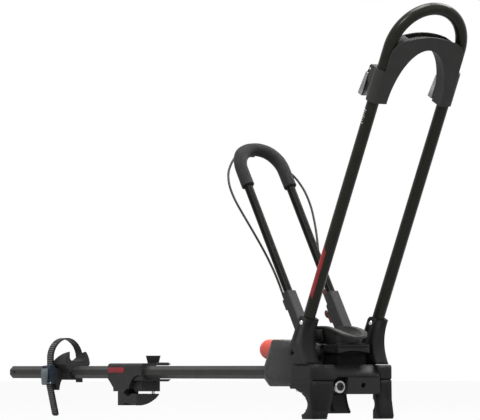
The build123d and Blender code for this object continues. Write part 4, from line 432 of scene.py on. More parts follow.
# Painted shade: the collar's colour is darker in its recesses.
COLLAR_METAL = Finish(
    "collar_metal", (0.3, 0.3, 0.31), (0.6, 0.61, 0.62), (0.3, 0.45),
    Grain.BRUSHED_Y, 0.0012, 0.5, metallic=1.0, specular=0.5, worn=(0.8, 0.8, 0.8), recess_shade=0.5,
)
LEVER_METAL = Finish(
    "lever_metal", (0.2, 0.205, 0.21), (0.34, 0.345, 0.35), (0.3, 0.42),
    Grain.BRUSHED_Y, 0.0006, 0.3, metallic=1.0, specular=0.5, worn=(0.75, 0.75, 0.75), wear=0.9,
)
BRIGHT = Finish(
    "bright_metal", (0.62, 0.63, 0.65), (0.7, 0.71, 0.72), (0.22, 0.34),
    Grain.BRUSHED_Y, 0.0004, 0.15, metallic=1.0, specular=0.5, worn=(0.8, 0.8, 0.8),
)
ZINC = Finish(
    "zinc_steel", (0.55, 0.56, 0.57), (0.66, 0.66, 0.66), (0.25, 0.36),
    Grain.POWDER, 0.001, 0.1, metallic=1.0, specular=0.5, worn=(0.8, 0.8, 0.8),
)
STRAP_RUBBER = Finish(
    "strap_rubber", (0.006, 0.006, 0.0065), (0.009, 0.009, 0.0095), (0.42, 0.55),
    Grain.MOULDED, 0.0006, 0.15, specular=0.25, worn=(0.2, 0.2, 0.2), wear=0.5,
)
# Painted highlight: the strap's own rubber, made lighter where the rungs catch the light.
LIT_RUNG_RUBBER = Finish(
    "lit_rung_rubber", (0.1, 0.1, 0.101), (0.14, 0.14, 0.141), (0.4, 0.5),
    Grain.MOULDED, 0.0006, 0.1, worn=(0.2, 0.2, 0.2), wear=0.5,
)
RUBBER = Finish(
    "black_rubber", (0.011, 0.011, 0.011), (0.016, 0.016, 0.016), (0.6, 0.75),
    Grain.MOULDED, 0.0005, 0.25, specular=0.25, sheen=0.06, wear=0.15,
)
FOAM = Finish(
    "closed_foam", (0.019, 0.019, 0.0195), (0.025, 0.025, 0.026), (0.75, 0.9),
    Grain.FOAM, 0.0009, 0.45, specular=0.12, sheen=0.1, wear=0.1,
)
SHEATH = Finish(
    "cable_sheath", (0.008, 0.008, 0.008), (0.012, 0.012, 0.012), (0.35, 0.45),
    Grain.POWDER, 0.001, 0.1, specular=0.35,
)
LEVER_GREY = Finish(
    "lever_grey", (0.1, 0.12, 0.135), (0.13, 0.15, 0.165), (0.4, 0.5),
    Grain.MOULDED, 0.0007, 0.15, specular=0.4, worn=(0.3, 0.32, 0.33),
)
BUCKLE_BLUE = Finish(
    "buckle_blue", (0.012, 0.018, 0.028), (0.018, 0.026, 0.04), (0.32, 0.42),
    Grain.MOULDED, 0.0006, 0.15, specular=0.4, worn=(0.1, 0.12, 0.15),
)
RED_PLASTIC = Finish(
    "red_plastic", (0.16, 0.017, 0.011), (0.24, 0.026, 0.017), (0.35, 0.45),
    Grain.MOULDED, 0.0009, 0.15, specular=0.4, coat=0.15, worn=(0.55, 0.1, 0.08),
)
# Painted shade: a darker copy of the red plastic, for red parts that lie in shade.
SHADED_RED = Finish(
    "shaded_red_plastic", (0.075, 0.016, 0.012), (0.1, 0.02, 0.015), (0.35, 0.45),
    Grain.MOULDED, 0.0009, 0.15, specular=0.35, worn=(0.3, 0.06, 0.05),
)
RED_MARK = Finish(
    "red_mark", (0.22, 0.02, 0.022), (0.29, 0.026, 0.03), (0.4, 0.5),
    Grain.POWDER, 0.0008, 0.08, worn=(0.12, 0.02, 0.02),
)
WHITE_MARK = Finish(
    "white_mark", (0.5, 0.5, 0.5), (0.62, 0.62, 0.61), (0.45, 0.55),
    Grain.POWDER, 0.0006, 0.08, worn=(0.2, 0.2, 0.2),
)

SLOT_FINISHES: dict[str, Finish] = {
    "black_tube": TUBE_PAINT,
    "black_plastic": MOULDED,
    "black_gloss_plastic": SATIN_BLACK,
    "red_plastic": RED_PLASTIC,
    "black_rubber": RUBBER,
    "bright_metal": BRIGHT,
    "steel": ZINC,
    "grey_plastic": LEVER_GREY,
    "black_cable": SHEATH,
}

NODE_FINISHES: dict[str, Finish] = {
    "tray_bar": BAR_PAINT,
    "tyre_bridge": BRIDGE_BLACK,
    "buckle_base": BUCKLE_BLUE,
    "head_housing": HOUSING_BLACK,
    "near_hoop_bracket": CASTING_BLACK,
    "far_hoop_bracket": CASTING_BLACK,
    "near_foot": FOOT_BLACK,
    "far_foot": FOOT_BLACK,
    "wheel_cradle": CRADLE_BLACK,
    "near_side_casting": CASTING_BLACK,
    "far_side_casting": CASTING_BLACK,
    "front_crossmember": MOULDED,
    "hoop_axle": BLACKED_STEEL,
    "tie_bolt": COLLAR_METAL,
    # Painted shade: the small hoop's tube takes the darker copy of the tube paint.
    "small_hoop_tube": SMALL_TUBE_SHADED_PAINT,
    # Painted shade: these red parts take the darker copy of the red plastic.
    "far_cable_stop": SHADED_RED,
    "thumb_lever": SHADED_RED,
    "thumb_pin": BLACKED_STEEL,
    "socket_pins": BLACKED_STEEL,
}


def dress(piece: bpy.types.Object, finish: Finish) -> None:
    """Give a piece one finish all over.

    Args:
        piece: the piece.
        finish: its finish.
    """
    piece.data.materials.clear()
    piece.data.materials.append(finish.material())


def deselect() -> None:
    """Deselect every object."""
    bpy.ops.object.select_all(action="DESELECT")


def hoop_matrix(lean: float) -> Matrix:
    """The place of a hoop's own plane: local X is across, Y along the legs and Z ahead.

    Args:
        lean: degrees forward from upright.

    Returns:
        The matrix from the hoop's plane to the carrier's frame.
    """
    turn = math.radians(lean)
    across = Vector((0.0, 1.0, 0.0))
    along = Vector((math.sin(turn), 0.0, math.cos(turn)))
    ahead = Vector((math.cos(turn), 0.0, -math.sin(turn)))
    return Matrix((*zip(across, along, ahead, PIVOT), (0.0, 0.0, 0.0, 1.0)))


def start(name: str) -> bpy.types.Object:
    """Name the primitive that was just added and put its place, turn and scale into its mesh.

    Args:
        name: the piece's name.

    Returns:
        The piece.
    """
    piece = bpy.context.object
    piece.name = name
    bpy.ops.object.transform_apply(location=True, rotation=True, scale=True)
    return piece


def block(name: str, middle: Vector, size: tuple[float, float, float]) -> bpy.types.Object:
    """Start a piece as a box.

    Args:
        name: its name.
        middle: its middle.
        size: its three sides.

    Returns:
        The piece.
    """
    deselect()
    bpy.ops.mesh.primitive_cube_add(size=1.0, location=middle)
    bpy.context.object.scale = size
    return start(name)


def sheet(name: str, spots: list[Vector]) -> bpy.types.Object:
    """Start a piece as one flat face.

    Args:
        name: its name.
        spots: the face's corners, in order.

    Returns:
        The piece.
    """
    deselect()
    bpy.ops.mesh.primitive_circle_add(vertices=len(spots), radius=1.0, fill_type="NGON")
    piece = start(name)
    for point, spot in zip(piece.data.vertices, spots):
        point.co = spot
    return piece


@contextmanager
def editing() -> Iterator[None]:
    """Hold the active piece in edit mode for as long as the block runs."""
    bpy.ops.object.mode_set(mode="EDIT")
    yield
    bpy.ops.object.mode_set(mode="OBJECT")


def select_all() -> None:
    """Select the whole mesh in edit mode."""
    bpy.ops.mesh.select_all(action="SELECT")


def extrude(x: float, y: float, z: float) -> None:
    """Draw out what is selected in edit mode.

    Args:
        x: how far it goes ahead.
        y: how far it goes across.
        z: how far it goes up.
    """
    bpy.ops.mesh.extrude_region_move(TRANSFORM_OT_translate={"value": (x, y, z)})


def split(spot: tuple[float, float, float], normal: tuple[float, float, float]) -> None:
    """Split the whole mesh in edit mode along a plane, keeping both sides.

    Args:
        spot: a point of the plane.
        normal: the plane's normal.
    """
    select_all()
    bpy.ops.mesh.bisect(plane_co=spot, plane_no=normal)


def pick_faces(piece: bpy.types.Object, wanted: Callable[[bmesh.types.BMFace], bool]) -> None:
    """Select some faces of a piece in edit mode.

    Args:
        piece: the piece.
        wanted: says which faces are selected.
    """
    grid = bmesh.from_edit_mesh(piece.data)
    for face in grid.faces:
        face.select_set(wanted(face))
    bmesh.update_edit_mesh(piece.data)


def ease(piece: bpy.types.Object, width: float, segments: int = 2, limit: float = 40.0) -> None:
    """Round the sharp edges of the active piece.

    Args:
        piece: the piece.
        width: the width of the rounding.
        segments: how many facets it has.
        limit: the least angle of an edge that is rounded, in degrees.
    """
    rim = piece.modifiers.new("ease", "BEVEL")
    rim.width = width
    rim.segments = segments
    rim.limit_method = "ANGLE"
    rim.angle_limit = math.radians(limit)
    bpy.ops.object.modifier_apply(modifier="ease")


def place_on_hoop(piece: bpy.types.Object, lean: float) -> None:
    """Move a mesh that was modelled in a hoop's own plane to its place.

    Args:
        piece: the piece.
        lean: the hoop's lean in degrees.
    """
    piece.data.transform(hoop_matrix(lean))
    piece.data.update()


def settle(piece: bpy.types.Object, body: str, finish: Finish) -> bpy.types.Object:
    """Finish a new piece: normals outwards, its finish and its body.

    Args:
        piece: the piece, its place already in its mesh.
        body: the body that it moves with.
        finish: its finish.

    Returns:
        The same piece.
    """
    deselect()
    bpy.context.view_layer.objects.active = piece
    piece.select_set(True)
    with editing():
        select_all()
        bpy.ops.mesh.normals_make_consistent(inside=False)
    bpy.ops.object.shade_smooth_by_angle(angle=math.radians(SMOOTH_ANGLE))
    dress(piece, finish)
    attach(piece, body)
    log.info("built %s on %s", piece.name, body)
    return piece


def join(pieces: list[bpy.types.Object], name: str) -> bpy.types.Object:
    """Join pieces into one.

    Args:
        pieces: the pieces, at least two.
        name: the name of the whole.

    Returns:
        The joined piece.
    """
    deselect()
    for piece in pieces:
        piece.select_set(True)
    bpy.context.view_layer.objects.active = pieces[0]
    bpy.ops.object.join()
    whole = bpy.context.view_layer.objects.active
    whole.name = name
    return whole


def dress_frame(frame: dict) -> None:
    """Give every CAD node its own finish, or that of its material slot.
    """
    slots = {part["node"]: part["material_slot"] for part in frame["record"]["subparts"]}
    for node, piece in frame["nodes"].items():
        dress(piece, NODE_FINISHES.get(node, SLOT_FINISHES[slots[node]]))
        log.info("dressed %s in %s", node, slots[node])


@dataclass
class FoamGrip:
    """The closed foam sleeve round the bend of the small hoop.

    The bend stands out by square at its two corners. Slack, dent and the waves shape the pressed
    surface: a wave is its turn per metre and its phase.
    """

    half_width: float = 56.7 * MM
    straight: float = 478.0 * MM
    start: float = 435.0 * MM
    radius: float = 14.5 * MM
    bore: float = 9.8 * MM
    lip: float = 1.6 * MM
    sides: int = 40
    bend_steps: int = 56
    weld: float = 0.01 * MM
    square: float = 3.2 * MM
    slack: float = 0.022
    dent: float = 0.018
    across_wave: tuple[float, float] = (95.0, 0.6)
    along_wave: tuple[float, float] = (70.0, 1.1)
    fine_wave: float = 210.0
    fine_share: float = 0.4

    def build(self) -> bpy.types.Object:
        """Model the sleeve: its end ring drawn up one leg, round the bend and down the other.

        Returns:
            The finished sleeve.
        """
        deselect()
        bpy.ops.mesh.primitive_circle_add(
            vertices=self.sides,
            radius=self.bore,
            fill_type="NOTHING",
            location=(self.half_width, self.start, 0.0),
            rotation=(math.radians(90.0), 0.0, 0.0),
        )
        pad = start("foam_grip")
        rim = self.radius - self.lip
        leg = self.straight - self.start - self.lip
        with editing():
            select_all()
            self._step(self.bore, rim, 0.0)
            self._step(rim, self.radius, self.lip)
            extrude(0.0, leg, 0.0)
            bpy.ops.mesh.spin(
                steps=self.bend_steps,
                angle=math.radians(-180.0),
                center=(0.0, self.straight, 0.0),
                axis=(0.0, 0.0, 1.0),
            )
            extrude(0.0, -leg, 0.0)
            self._step(self.radius, rim, -self.lip, -1.0, self.start)
            self._step(rim, self.bore, 0.0, -1.0, self.start)
            select_all()
            bpy.ops.mesh.remove_doubles(threshold=self.weld)
        self._press(pad)
        place_on_hoop(pad, SMALL_LEAN)
        settle(pad, "small_hoop", FOAM)
        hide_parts("grip_pad")
        return pad

    def _step(
        self, inner: float, outer: float, rise: float, side: float = 1.0, height: float | None = None
    ) -> None:
        """Draw the selected ring out to a new radius.

        Args:
            inner: its radius now.
            outer: its radius after.
            rise: how far it moves along the leg.
            side: 1 for the first leg and -1 for the other.
            height: where the ring ends along the leg.
        """
        extrude(0.0, rise, 0.0)
        level = self.start + rise if height is None else height
        grown = outer / inner
        middle = (side * self.half_width, level, 0.0)
        bpy.ops.transform.resize(value=(grown, 1.0, grown), center_override=middle)

    def _press(self, pad: bpy.types.Object) -> None:
        """Square the bend a little and give the foam its slight unevenness, where hands have pressed it.

        Args:
            pad: the sleeve, still in the hoop's own plane.
        """
        for point in pad.data.vertices:
            along = point.co.y - self.start
            across = point.co.x
            bent = point.co.y > self.straight
            centre = Vector((math.copysign(self.half_width, across), point.co.y, 0.0))
            if bent:
                out = Vector((across, point.co.y - self.straight, 0.0)).normalized()
                centre = Vector((0.0, self.straight, 0.0)) + out * self.half_width
            reach = point.co - centre
            if reach.length < self.radius - self.lip:
                continue
            if bent:
                corner = 2.0 * out.x * out.y
                outward = max(0.0, reach.normalized().dot(out))
                reach += out * self.square * corner * corner * outward
            wide = math.sin(across * self.across_wave[0] + self.across_wave[1])
            long = math.sin(along * self.along_wave[0] + self.along_wave[1])
            wave = wide * long + self.fine_share * math.sin(across * self.fine_wave)
            point.co = centre + reach * (1.0 - self.slack + self.dent * wave)


@dataclass
class LegMarks:
    """The plain stripe and the scale ticks on the near leg of the tall hoop.

    Middles and halves are angles round the tube, in degrees.
    """

    leg_across: float = -92.0 * MM
    tube_radius: float = 13.0 * MM
    facets: int = 120
    proud: float = 0.12 * MM
    thickness: float = 0.25 * MM
    stripe_from: float = 139.0 * MM
    stripe_to: float = 249.0 * MM
    stripe_middle: float = 182.0
    stripe_half: float = 31.0
    stripe_slant: float = 7.0 * MM
    ticks_from: float = 540.0 * MM
    tick_pitch: float = 5.0 * MM
    tick_width: float = 1.6 * MM
    tick_count: int = 7
    tick_middle: float = 189.0
    long_half: float = 20.0
    short_half: float = 13.0
    long_every: int = 3

    @staticmethod
    def turn(spot: Vector, middle: float) -> float:
        """How far round the tube a spot lies from the middle of a mark.

        Args:
            spot: the spot, the tube standing on its end.
            middle: the angle of the mark's middle, in degrees.

        Returns:
            The angle between them, from -180 to 180 degrees.
        """
        angle = math.degrees(math.atan2(spot.y, spot.x)) % 360.0
        return (angle - middle + 180.0) % 360.0 - 180.0

    def patch(
        self, name: str, middle: float, half: float, low: float, high: float, slant: float = 0.0
    ) -> bpy.types.Object:
        """Model one thin mark that lies on the tube.

        Args:
            name: its name.
            middle: the angle of its middle round the tube, in degrees, from outward (+Y) towards ahead.
            half: half of its angle.
            low: where it starts along the leg.
            high: where it ends.
            slant: how far its ends lean along the leg from one side to the other.

        Returns:
            The mark, in its place.
        """
        deselect()
        bpy.ops.mesh.primitive_cylinder_add(
            vertices=self.facets,
            radius=self.tube_radius + self.proud,
            depth=high - low,
            end_fill_type="NOTHING",
            location=(0.0, 0.0, (low + high) / 2.0),
        )
        mark = start(name)
        with editing():
            pick_faces(mark, lambda face: abs(self.turn(face.calc_center_median(), middle)) > half)
            bpy.ops.mesh.delete(type="FACE")
        for point in mark.data.vertices:
            point.co.z += self.turn(point.co, middle) / half * slant
        wall = mark.modifiers.new("wall", "SOLIDIFY")
        wall.thickness = self.thickness
        wall.offset = -1.0
        bpy.ops.object.modifier_apply(modifier="wall")
        laid = Matrix(((1.0, 0.0, 0.0), (0.0, 0.0, 1.0), (0.0, 1.0, 0.0))).to_4x4()
        laid.translation = (self.leg_across, 0.0, 0.0)
        mark.data.transform(laid)
        place_on_hoop(mark, TALL_LEAN)
        return mark

    def build(self) -> None:
        """Model the stripe and the ticks."""
        stripe = self.patch(
            "leg_stripe",
            self.stripe_middle,
            self.stripe_half,
            self.stripe_from,
            self.stripe_to,
            self.stripe_slant,
        )
        settle(stripe, "tall_hoop", RED_MARK)
        ticks = []
        for step in range(self.tick_count):
            low = self.ticks_from + step * self.tick_pitch
            half = self.long_half if step % self.long_every == 0 else self.short_half
            ticks.append(self.patch(f"tick_{step}", self.tick_middle, half, low, low + self.tick_width))
        settle(join(ticks, "scale_ticks"), "tall_hoop", WHITE_MARK)


@dataclass
class ClampLabel:
    """The plain red plate on the near side of the rear clamp."""

    rear: float = -886.0 * MM
    front: float = -820.0 * MM
    low: float = 67.6 * MM
    high: float = 79.6 * MM
    face: float = -20.4 * MM
    proud: float = 0.5 * MM
    sunk: float = 0.1 * MM
    corner: float = 3.0 * MM
    corner_steps: int = 8
    rim: float = 0.5 * MM
    crown: float = 0.15 * MM
    flat: float = 0.01 * MM

    def build(self) -> bpy.types.Object:
        """Model the plate: a slab with round corners and an eased rim.

        Returns:
            The finished plate.
        """
        out = self.face + self.proud / 2.0 - self.sunk
        middle = Vector(((self.rear + self.front) / 2.0, out, (self.low + self.high) / 2.0))
        sides = (self.front - self.rear, self.proud * 2.0, self.high - self.low)
        plate = block("clamp_plate", middle, sides)
        with editing():
            self._pick_corners(plate)
            bpy.ops.mesh.bevel(offset=self.corner, segments=self.corner_steps, affect="EDGES")
            grid = bmesh.from_edit_mesh(plate.data)
            outermost = min(face.calc_center_median().y for face in grid.faces)
            pick_faces(plate, lambda face: face.calc_center_median().y < outermost + self.flat)
            bpy.ops.mesh.inset(thickness=self.rim, depth=self.crown)
        return settle(plate, "rear_clamp", RED_MARK)

    def _pick_corners(self, plate: bpy.types.Object) -> None:
        """Select the four short edges at the corners of the plate, in edit mode.

        Args:
            plate: the plate.
        """
        grid = bmesh.from_edit_mesh(plate.data)
        for edge in grid.edges:
            run = (edge.verts[0].co - edge.verts[1].co).normalized()
            edge.select_set(abs(run.y) > FACING)
        bmesh.update_edit_mesh(plate.data)


@dataclass
class LeverGrip:
    """The bright ribbed cap on the handle of one cam lever, placed in the plane of the tall hoop."""

    leg_across: float = 92.0 * MM
    outside: float = -40.4 * MM
    inside: float = -31.0 * MM
    low: float = 590.0 * MM
    high: float = 642.0 * MM
    half: float = 10.4 * MM
    lift: float = 6.5 * MM
    rib_count: int = 9
    rib_depth: float = 1.1 * MM
    rounding: float = 1.6 * MM
    edge: float = 0.4 * MM

    def build(self, side: Side) -> bpy.types.Object:
        """Model the cap: a block whose outer face is cut into ribs and whose rim is eased.

        Args:
            side: the lever's side.

        Returns:
            The finished cap.
        """
        length = self.high - self.low
        bands = 2 * self.rib_count
        ahead = (self.outside + self.inside) / 2.0
        middle = Vector((side.value * self.leg_across, (self.low + self.high) / 2.0, ahead))
        cap = block(f"{side.word}_lever_cap", middle, (2.0 * self.half, length, self.inside - self.outside))
        with editing():
            for step in range(1, bands):
                split((0.0, self.low + length * step / bands, 0.0), (0.0, 1.0, 0.0))
            pick_faces(cap, self._is_rib)
            extrude(0.0, 0.0, -self.rib_depth)
        for point in cap.data.vertices:
            share = (point.co.y - self.low) / length
            reach = (point.co.x - middle.x) / self.half
            if point.co.z < middle.z:
                point.co.z += self.rounding * reach * reach - self.lift * (1.0 - share)
        ease(cap, self.edge)
        place_on_hoop(cap, TALL_LEAN)
        settle(cap, f"{side.word}_cam", LEVER_METAL)
        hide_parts(f"{side.word}_lever_face")
        return cap

    def _is_rib(self, face: bmesh.types.BMFace) -> bool:
        """Say whether a face of the cap is the top of a rib.

        Args:
            face: the face.

        Returns:
            True on every second band of the outer face.
        """
        share = (face.calc_center_median().y - self.low) / (self.high - self.low)
        return face.normal.z < -FACING and int(share * 2 * self.rib_count) % 2 == 1


@dataclass
class ThumbPaddle:
    """The rounded paddle of the thumb lever and its arm, placed in the plane of the small hoop."""

    across: float = 56.7 * MM
    paddle_along: float = 125.0 * MM
    paddle_ahead: float = -37.0 * MM
    paddle_half: float = 5.6 * MM
    paddle_reach: float = 10.0 * MM
    paddle_segments: int = 32
    paddle_rings: int = 16
    arm_along: float = 113.0 * MM
    arm_ahead: float = -30.0 * MM
    arm_size: tuple[float, float, float] = (8.8 * MM, 26.0 * MM, 10.0 * MM)
    arm_edge: float = 2.2 * MM
    arm_edge_steps: int = 4

    def build(self) -> bpy.types.Object:
        """Model the paddle and the arm.

        Returns:
            The paddle.
        """
        deselect()
        bpy.ops.mesh.primitive_uv_sphere_add(
            segments=self.paddle_segments,
            ring_count=self.paddle_rings,
            radius=1.0,
            location=(self.across, self.paddle_along, self.paddle_ahead),
        )
        bpy.context.object.scale = (self.paddle_half, self.paddle_reach, self.paddle_half)
        paddle = start("thumb_paddle")
        place_on_hoop(paddle, SMALL_LEAN)
        # Painted shade: the paddle takes the darker copy of the red plastic.
        settle(paddle, "thumb", SHADED_RED)
        arm = block("thumb_arm", Vector((self.across, self.arm_along, self.arm_ahead)), self.arm_size)
        ease(arm, self.arm_edge, segments=self.arm_edge_steps)
        place_on_hoop(arm, SMALL_LEAN)
        settle(arm, "thumb", MOULDED)
        return paddle


@dataclass
class BuckleLever:
    """The tapered lever of the buckle, its outer face crowned and ribbed for the thumb.

    Bands are counted from the foot, and so are the shares of its height. The shares of the cuts are
    of its half width.
    """

    place: float = -1100.0 * MM
    outside: float = -61.0 * MM
    inside: float = -53.6 * MM
    low: float = 38.7 * MM
    high: float = 77.0 * MM
    half: float = 11.0 * MM
    bands: int = 16
    first_groove: int = 3
    last_groove: int = 11
    groove_depth: float = 0.8 * MM
    cut_shares: tuple[float, ...] = (-0.55, 0.0, 0.55)
    foot_width_share: float = 0.74
    widening: float = 1.7
    crown: float = 1.6 * MM
    tip_from_share: float = 0.75
    tip_drop: float = 2.2 * MM
    foot_to_share: float = 0.3
    foot_lift: float = 2.25 * MM
    edge: float = 0.9 * MM
    edge_steps: int = 3
    edge_limit: float = 50.0

    def build(self) -> bpy.types.Object:
        """Model the lever: a block cut into bands, tapered to its foot and rounded.

        Returns:
            The finished lever.
        """
        height = self.high - self.low
        middle = Vector((self.place, (self.outside + self.inside) / 2.0, (self.low + self.high) / 2.0))
        lever = block("buckle_thumb_lever", middle, (2.0 * self.half, self.inside - self.outside, height))
        with editing():
            for step in range(1, self.bands):
                split((0.0, 0.0, self.low + height * step / self.bands), (0.0, 0.0, 1.0))
            for share in self.cut_shares:
                split((self.place + share * self.half, 0.0, 0.0), (1.0, 0.0, 0.0))
            pick_faces(lever, self._is_groove)
            extrude(0.0, self.groove_depth, 0.0)
        for point in lever.data.vertices:
            share = (point.co.z - self.low) / height
            reach = (point.co.x - self.place) / self.half
            to_foot = max(0.0, self.foot_to_share - share) / self.foot_to_share
            to_tip = max(0.0, share - self.tip_from_share) / (1.0 - self.tip_from_share)
            wide = self.foot_width_share + (1.0 - self.foot_width_share) * min(1.0, share * self.widening)
            point.co.x = self.place + reach * self.half * wide
            if point.co.y < middle.y:
                point.co.y += self.crown * reach * reach + self.tip_drop * to_tip
            point.co.z += self.foot_lift * reach * reach * to_foot
        ease(lever, self.edge, segments=self.edge_steps, limit=self.edge_limit)
        settle(lever, "buckle", LEVER_GREY)
        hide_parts("buckle_lever")
        return lever

    def _is_groove(self, face: bmesh.types.BMFace) -> bool:
        """Say whether a face of the lever is the floor of a groove.

        Args:
            face: the face.

        Returns:
            True on every second band of the outer face, in the part that is ribbed.
        """
        share = (face.calc_center_median().z - self.low) / (self.high - self.low)
        band = int(share * self.bands)
        grooved = band % 2 == 1 and self.first_groove <= band <= self.last_groove
        return face.normal.y < -FACING and grooved


@dataclass
class Fairing:
    """A small moulded form in millimetres: an outline across and up, drawn out along X and eased."""

    name: str
    body: str
    finish: Finish
    rear: float
    front: float
    outline: tuple[tuple[float, float], ...]
    edge: float = 1.0

    def build(self) -> bpy.types.Object:
        """Model the form.

        Returns:
            The finished form.
        """
        form = sheet(self.name, [Vector((self.rear, across, up)) * MM for across, up in self.outline])
        with editing():
            select_all()
            extrude((self.front - self.rear) * MM, 0.0, 0.0)
        ease(form, self.edge * MM)
        return settle(form, self.body, self.finish)


@dataclass
class NoseCheek:
    """The crowned side of the nose, near or far, in millimetres.

    Its outline is ahead and up, and each crown is the width of an inset and how far it stands out.
    """

    outline: tuple[tuple[float, float], ...] = (
        (-231.0, 41.0), (-247.0, 54.0), (-247.0, 84.0), (-220.0, 136.5), (-58.0, 126.5), (-58.0, 41.0),
    )
    inner: float = 31.0
    rise: float = 1.9
    crowns: tuple[tuple[float, float], ...] = ((3.5, 2.2), (4.5, 2.0), (4.5, 1.2))

    def build(self, side: Side) -> bpy.types.Object:
        """Model the cheek: its outline drawn out from the nose and crowned in three insets.

        Args:
            side: the cheek's side.

        Returns:
            The finished cheek.
        """
        out = side.value * MM
        spots = [Vector((ahead * MM, out * self.inner, up * MM)) for ahead, up in self.outline]
        cheek = sheet(f"{side.word}_nose_cheek", spots)
        with editing():
            select_all()
            extrude(0.0, out * self.rise, 0.0)
            for width, height in self.crowns:
                bpy.ops.mesh.inset(thickness=width * MM, depth=0.0)
                bpy.ops.transform.translate(value=(0.0, out * height, 0.0))
        return settle(cheek, "carrier", HOUSING_BLACK)


FAIRINGS = (
    Fairing(
        "chock_gusset", "chock", MOULDED, -1115.0, -1085.0,
        (
            (-17.0, 76.0), (-37.4, 78.5), (-37.4, 57.0), (-36.2, 48.0), (-33.0, 36.0), (-31.0, 27.0),
            (-24.0, 27.0), (-22.8, 36.0), (-20.6, 44.0), (-17.4, 50.4),
        ),
    ),
    Fairing(
        "near_shoulder", "carrier", CASTING_BLACK, -4.0, 36.0,
        (
            (-105.95, 84.8), (-86.0, 84.6), (-78.0, 82.0), (-68.0, 76.5), (-58.0, 69.5), (-49.0, 62.5),
            (-41.0, 58.8), (-41.0, 57.6), (-50.0, 52.3), (-105.95, 52.3),
        ),
        3.0,
    ),
    Fairing(
        "near_foot_front", "carrier", FOOT_BLACK, 15.0, 35.9,
        (
            (-105.95, 51.9), (-50.0, 51.9), (-51.0, 31.0), (-54.0, 17.0), (-57.5, 3.0), (-63.0, -13.0),
            (-68.4, -28.0), (-70.0, -30.9), (-105.95, -30.9),
        ),
        3.5,
    ),
    Fairing(
        "clamp_rail_top", "rear_clamp", MOULDED, -761.0, -749.6,
        ((24.0, 84.0), (58.0, 84.0), (58.0, 91.0), (26.0, 91.0)),
        2.0,
    ),
    Fairing(
        "clamp_rail_foot", "rear_clamp", MOULDED, -772.0, -749.6,
        ((24.0, 47.5), (58.0, 47.5), (58.0, 53.0), (24.0, 53.0)),
        2.0,
    ),
    Fairing(
        "cradle_wing", "carrier", CRADLE_BLACK, -62.0, -22.0,
        ((-34.0, 130.0), (-41.0, 134.0), (-43.0, 148.0), (-42.0, 160.0), (-37.0, 162.0), (-34.0, 158.0)),
        2.0,
    ),
    # Painted shade: a near-black sheet round the pillar under the cradle, where there is only shade.
    Fairing(
        "pillar_shade_sheet", "carrier", SHADOW_BLACK, -23.0, 29.4,
        ((-37.4, 85.1), (37.4, 85.1), (37.0, 96.0), (37.2, 108.8), (-37.2, 108.8), (-37.0, 96.0)),
        1.5,
    ),
    # Painted shade: a thin near-black strip on the far casting, standing for the shade in its arc groove.
    Fairing(
        "far_groove_shade", "carrier", SHADOW_BLACK, 29.0, 30.5,
        (
            (57.1, 76.3), (69.8, 74.2), (76.3, 67.3), (79.0, 24.3),
            (78.0, 24.3), (75.3, 67.2), (69.4, 73.2), (57.0, 75.4),
        ),
        0.1,
    ),
)


def arc(hub: Vector, radius: float, first: float, sweep: float, steps: int) -> list[Vector]:
    """Points along an arc in a plane, without its end.

    Args:
        hub: its middle.
        radius: its radius.
        first: the angle of its first point.
        sweep: the angle that it covers.
        steps: how many points it has.

    Returns:
        The points.
    """
    turns = [first + sweep * k / steps for k in range(steps)]
    return [hub + radius * Vector((math.cos(turn), math.sin(turn))) for turn in turns]


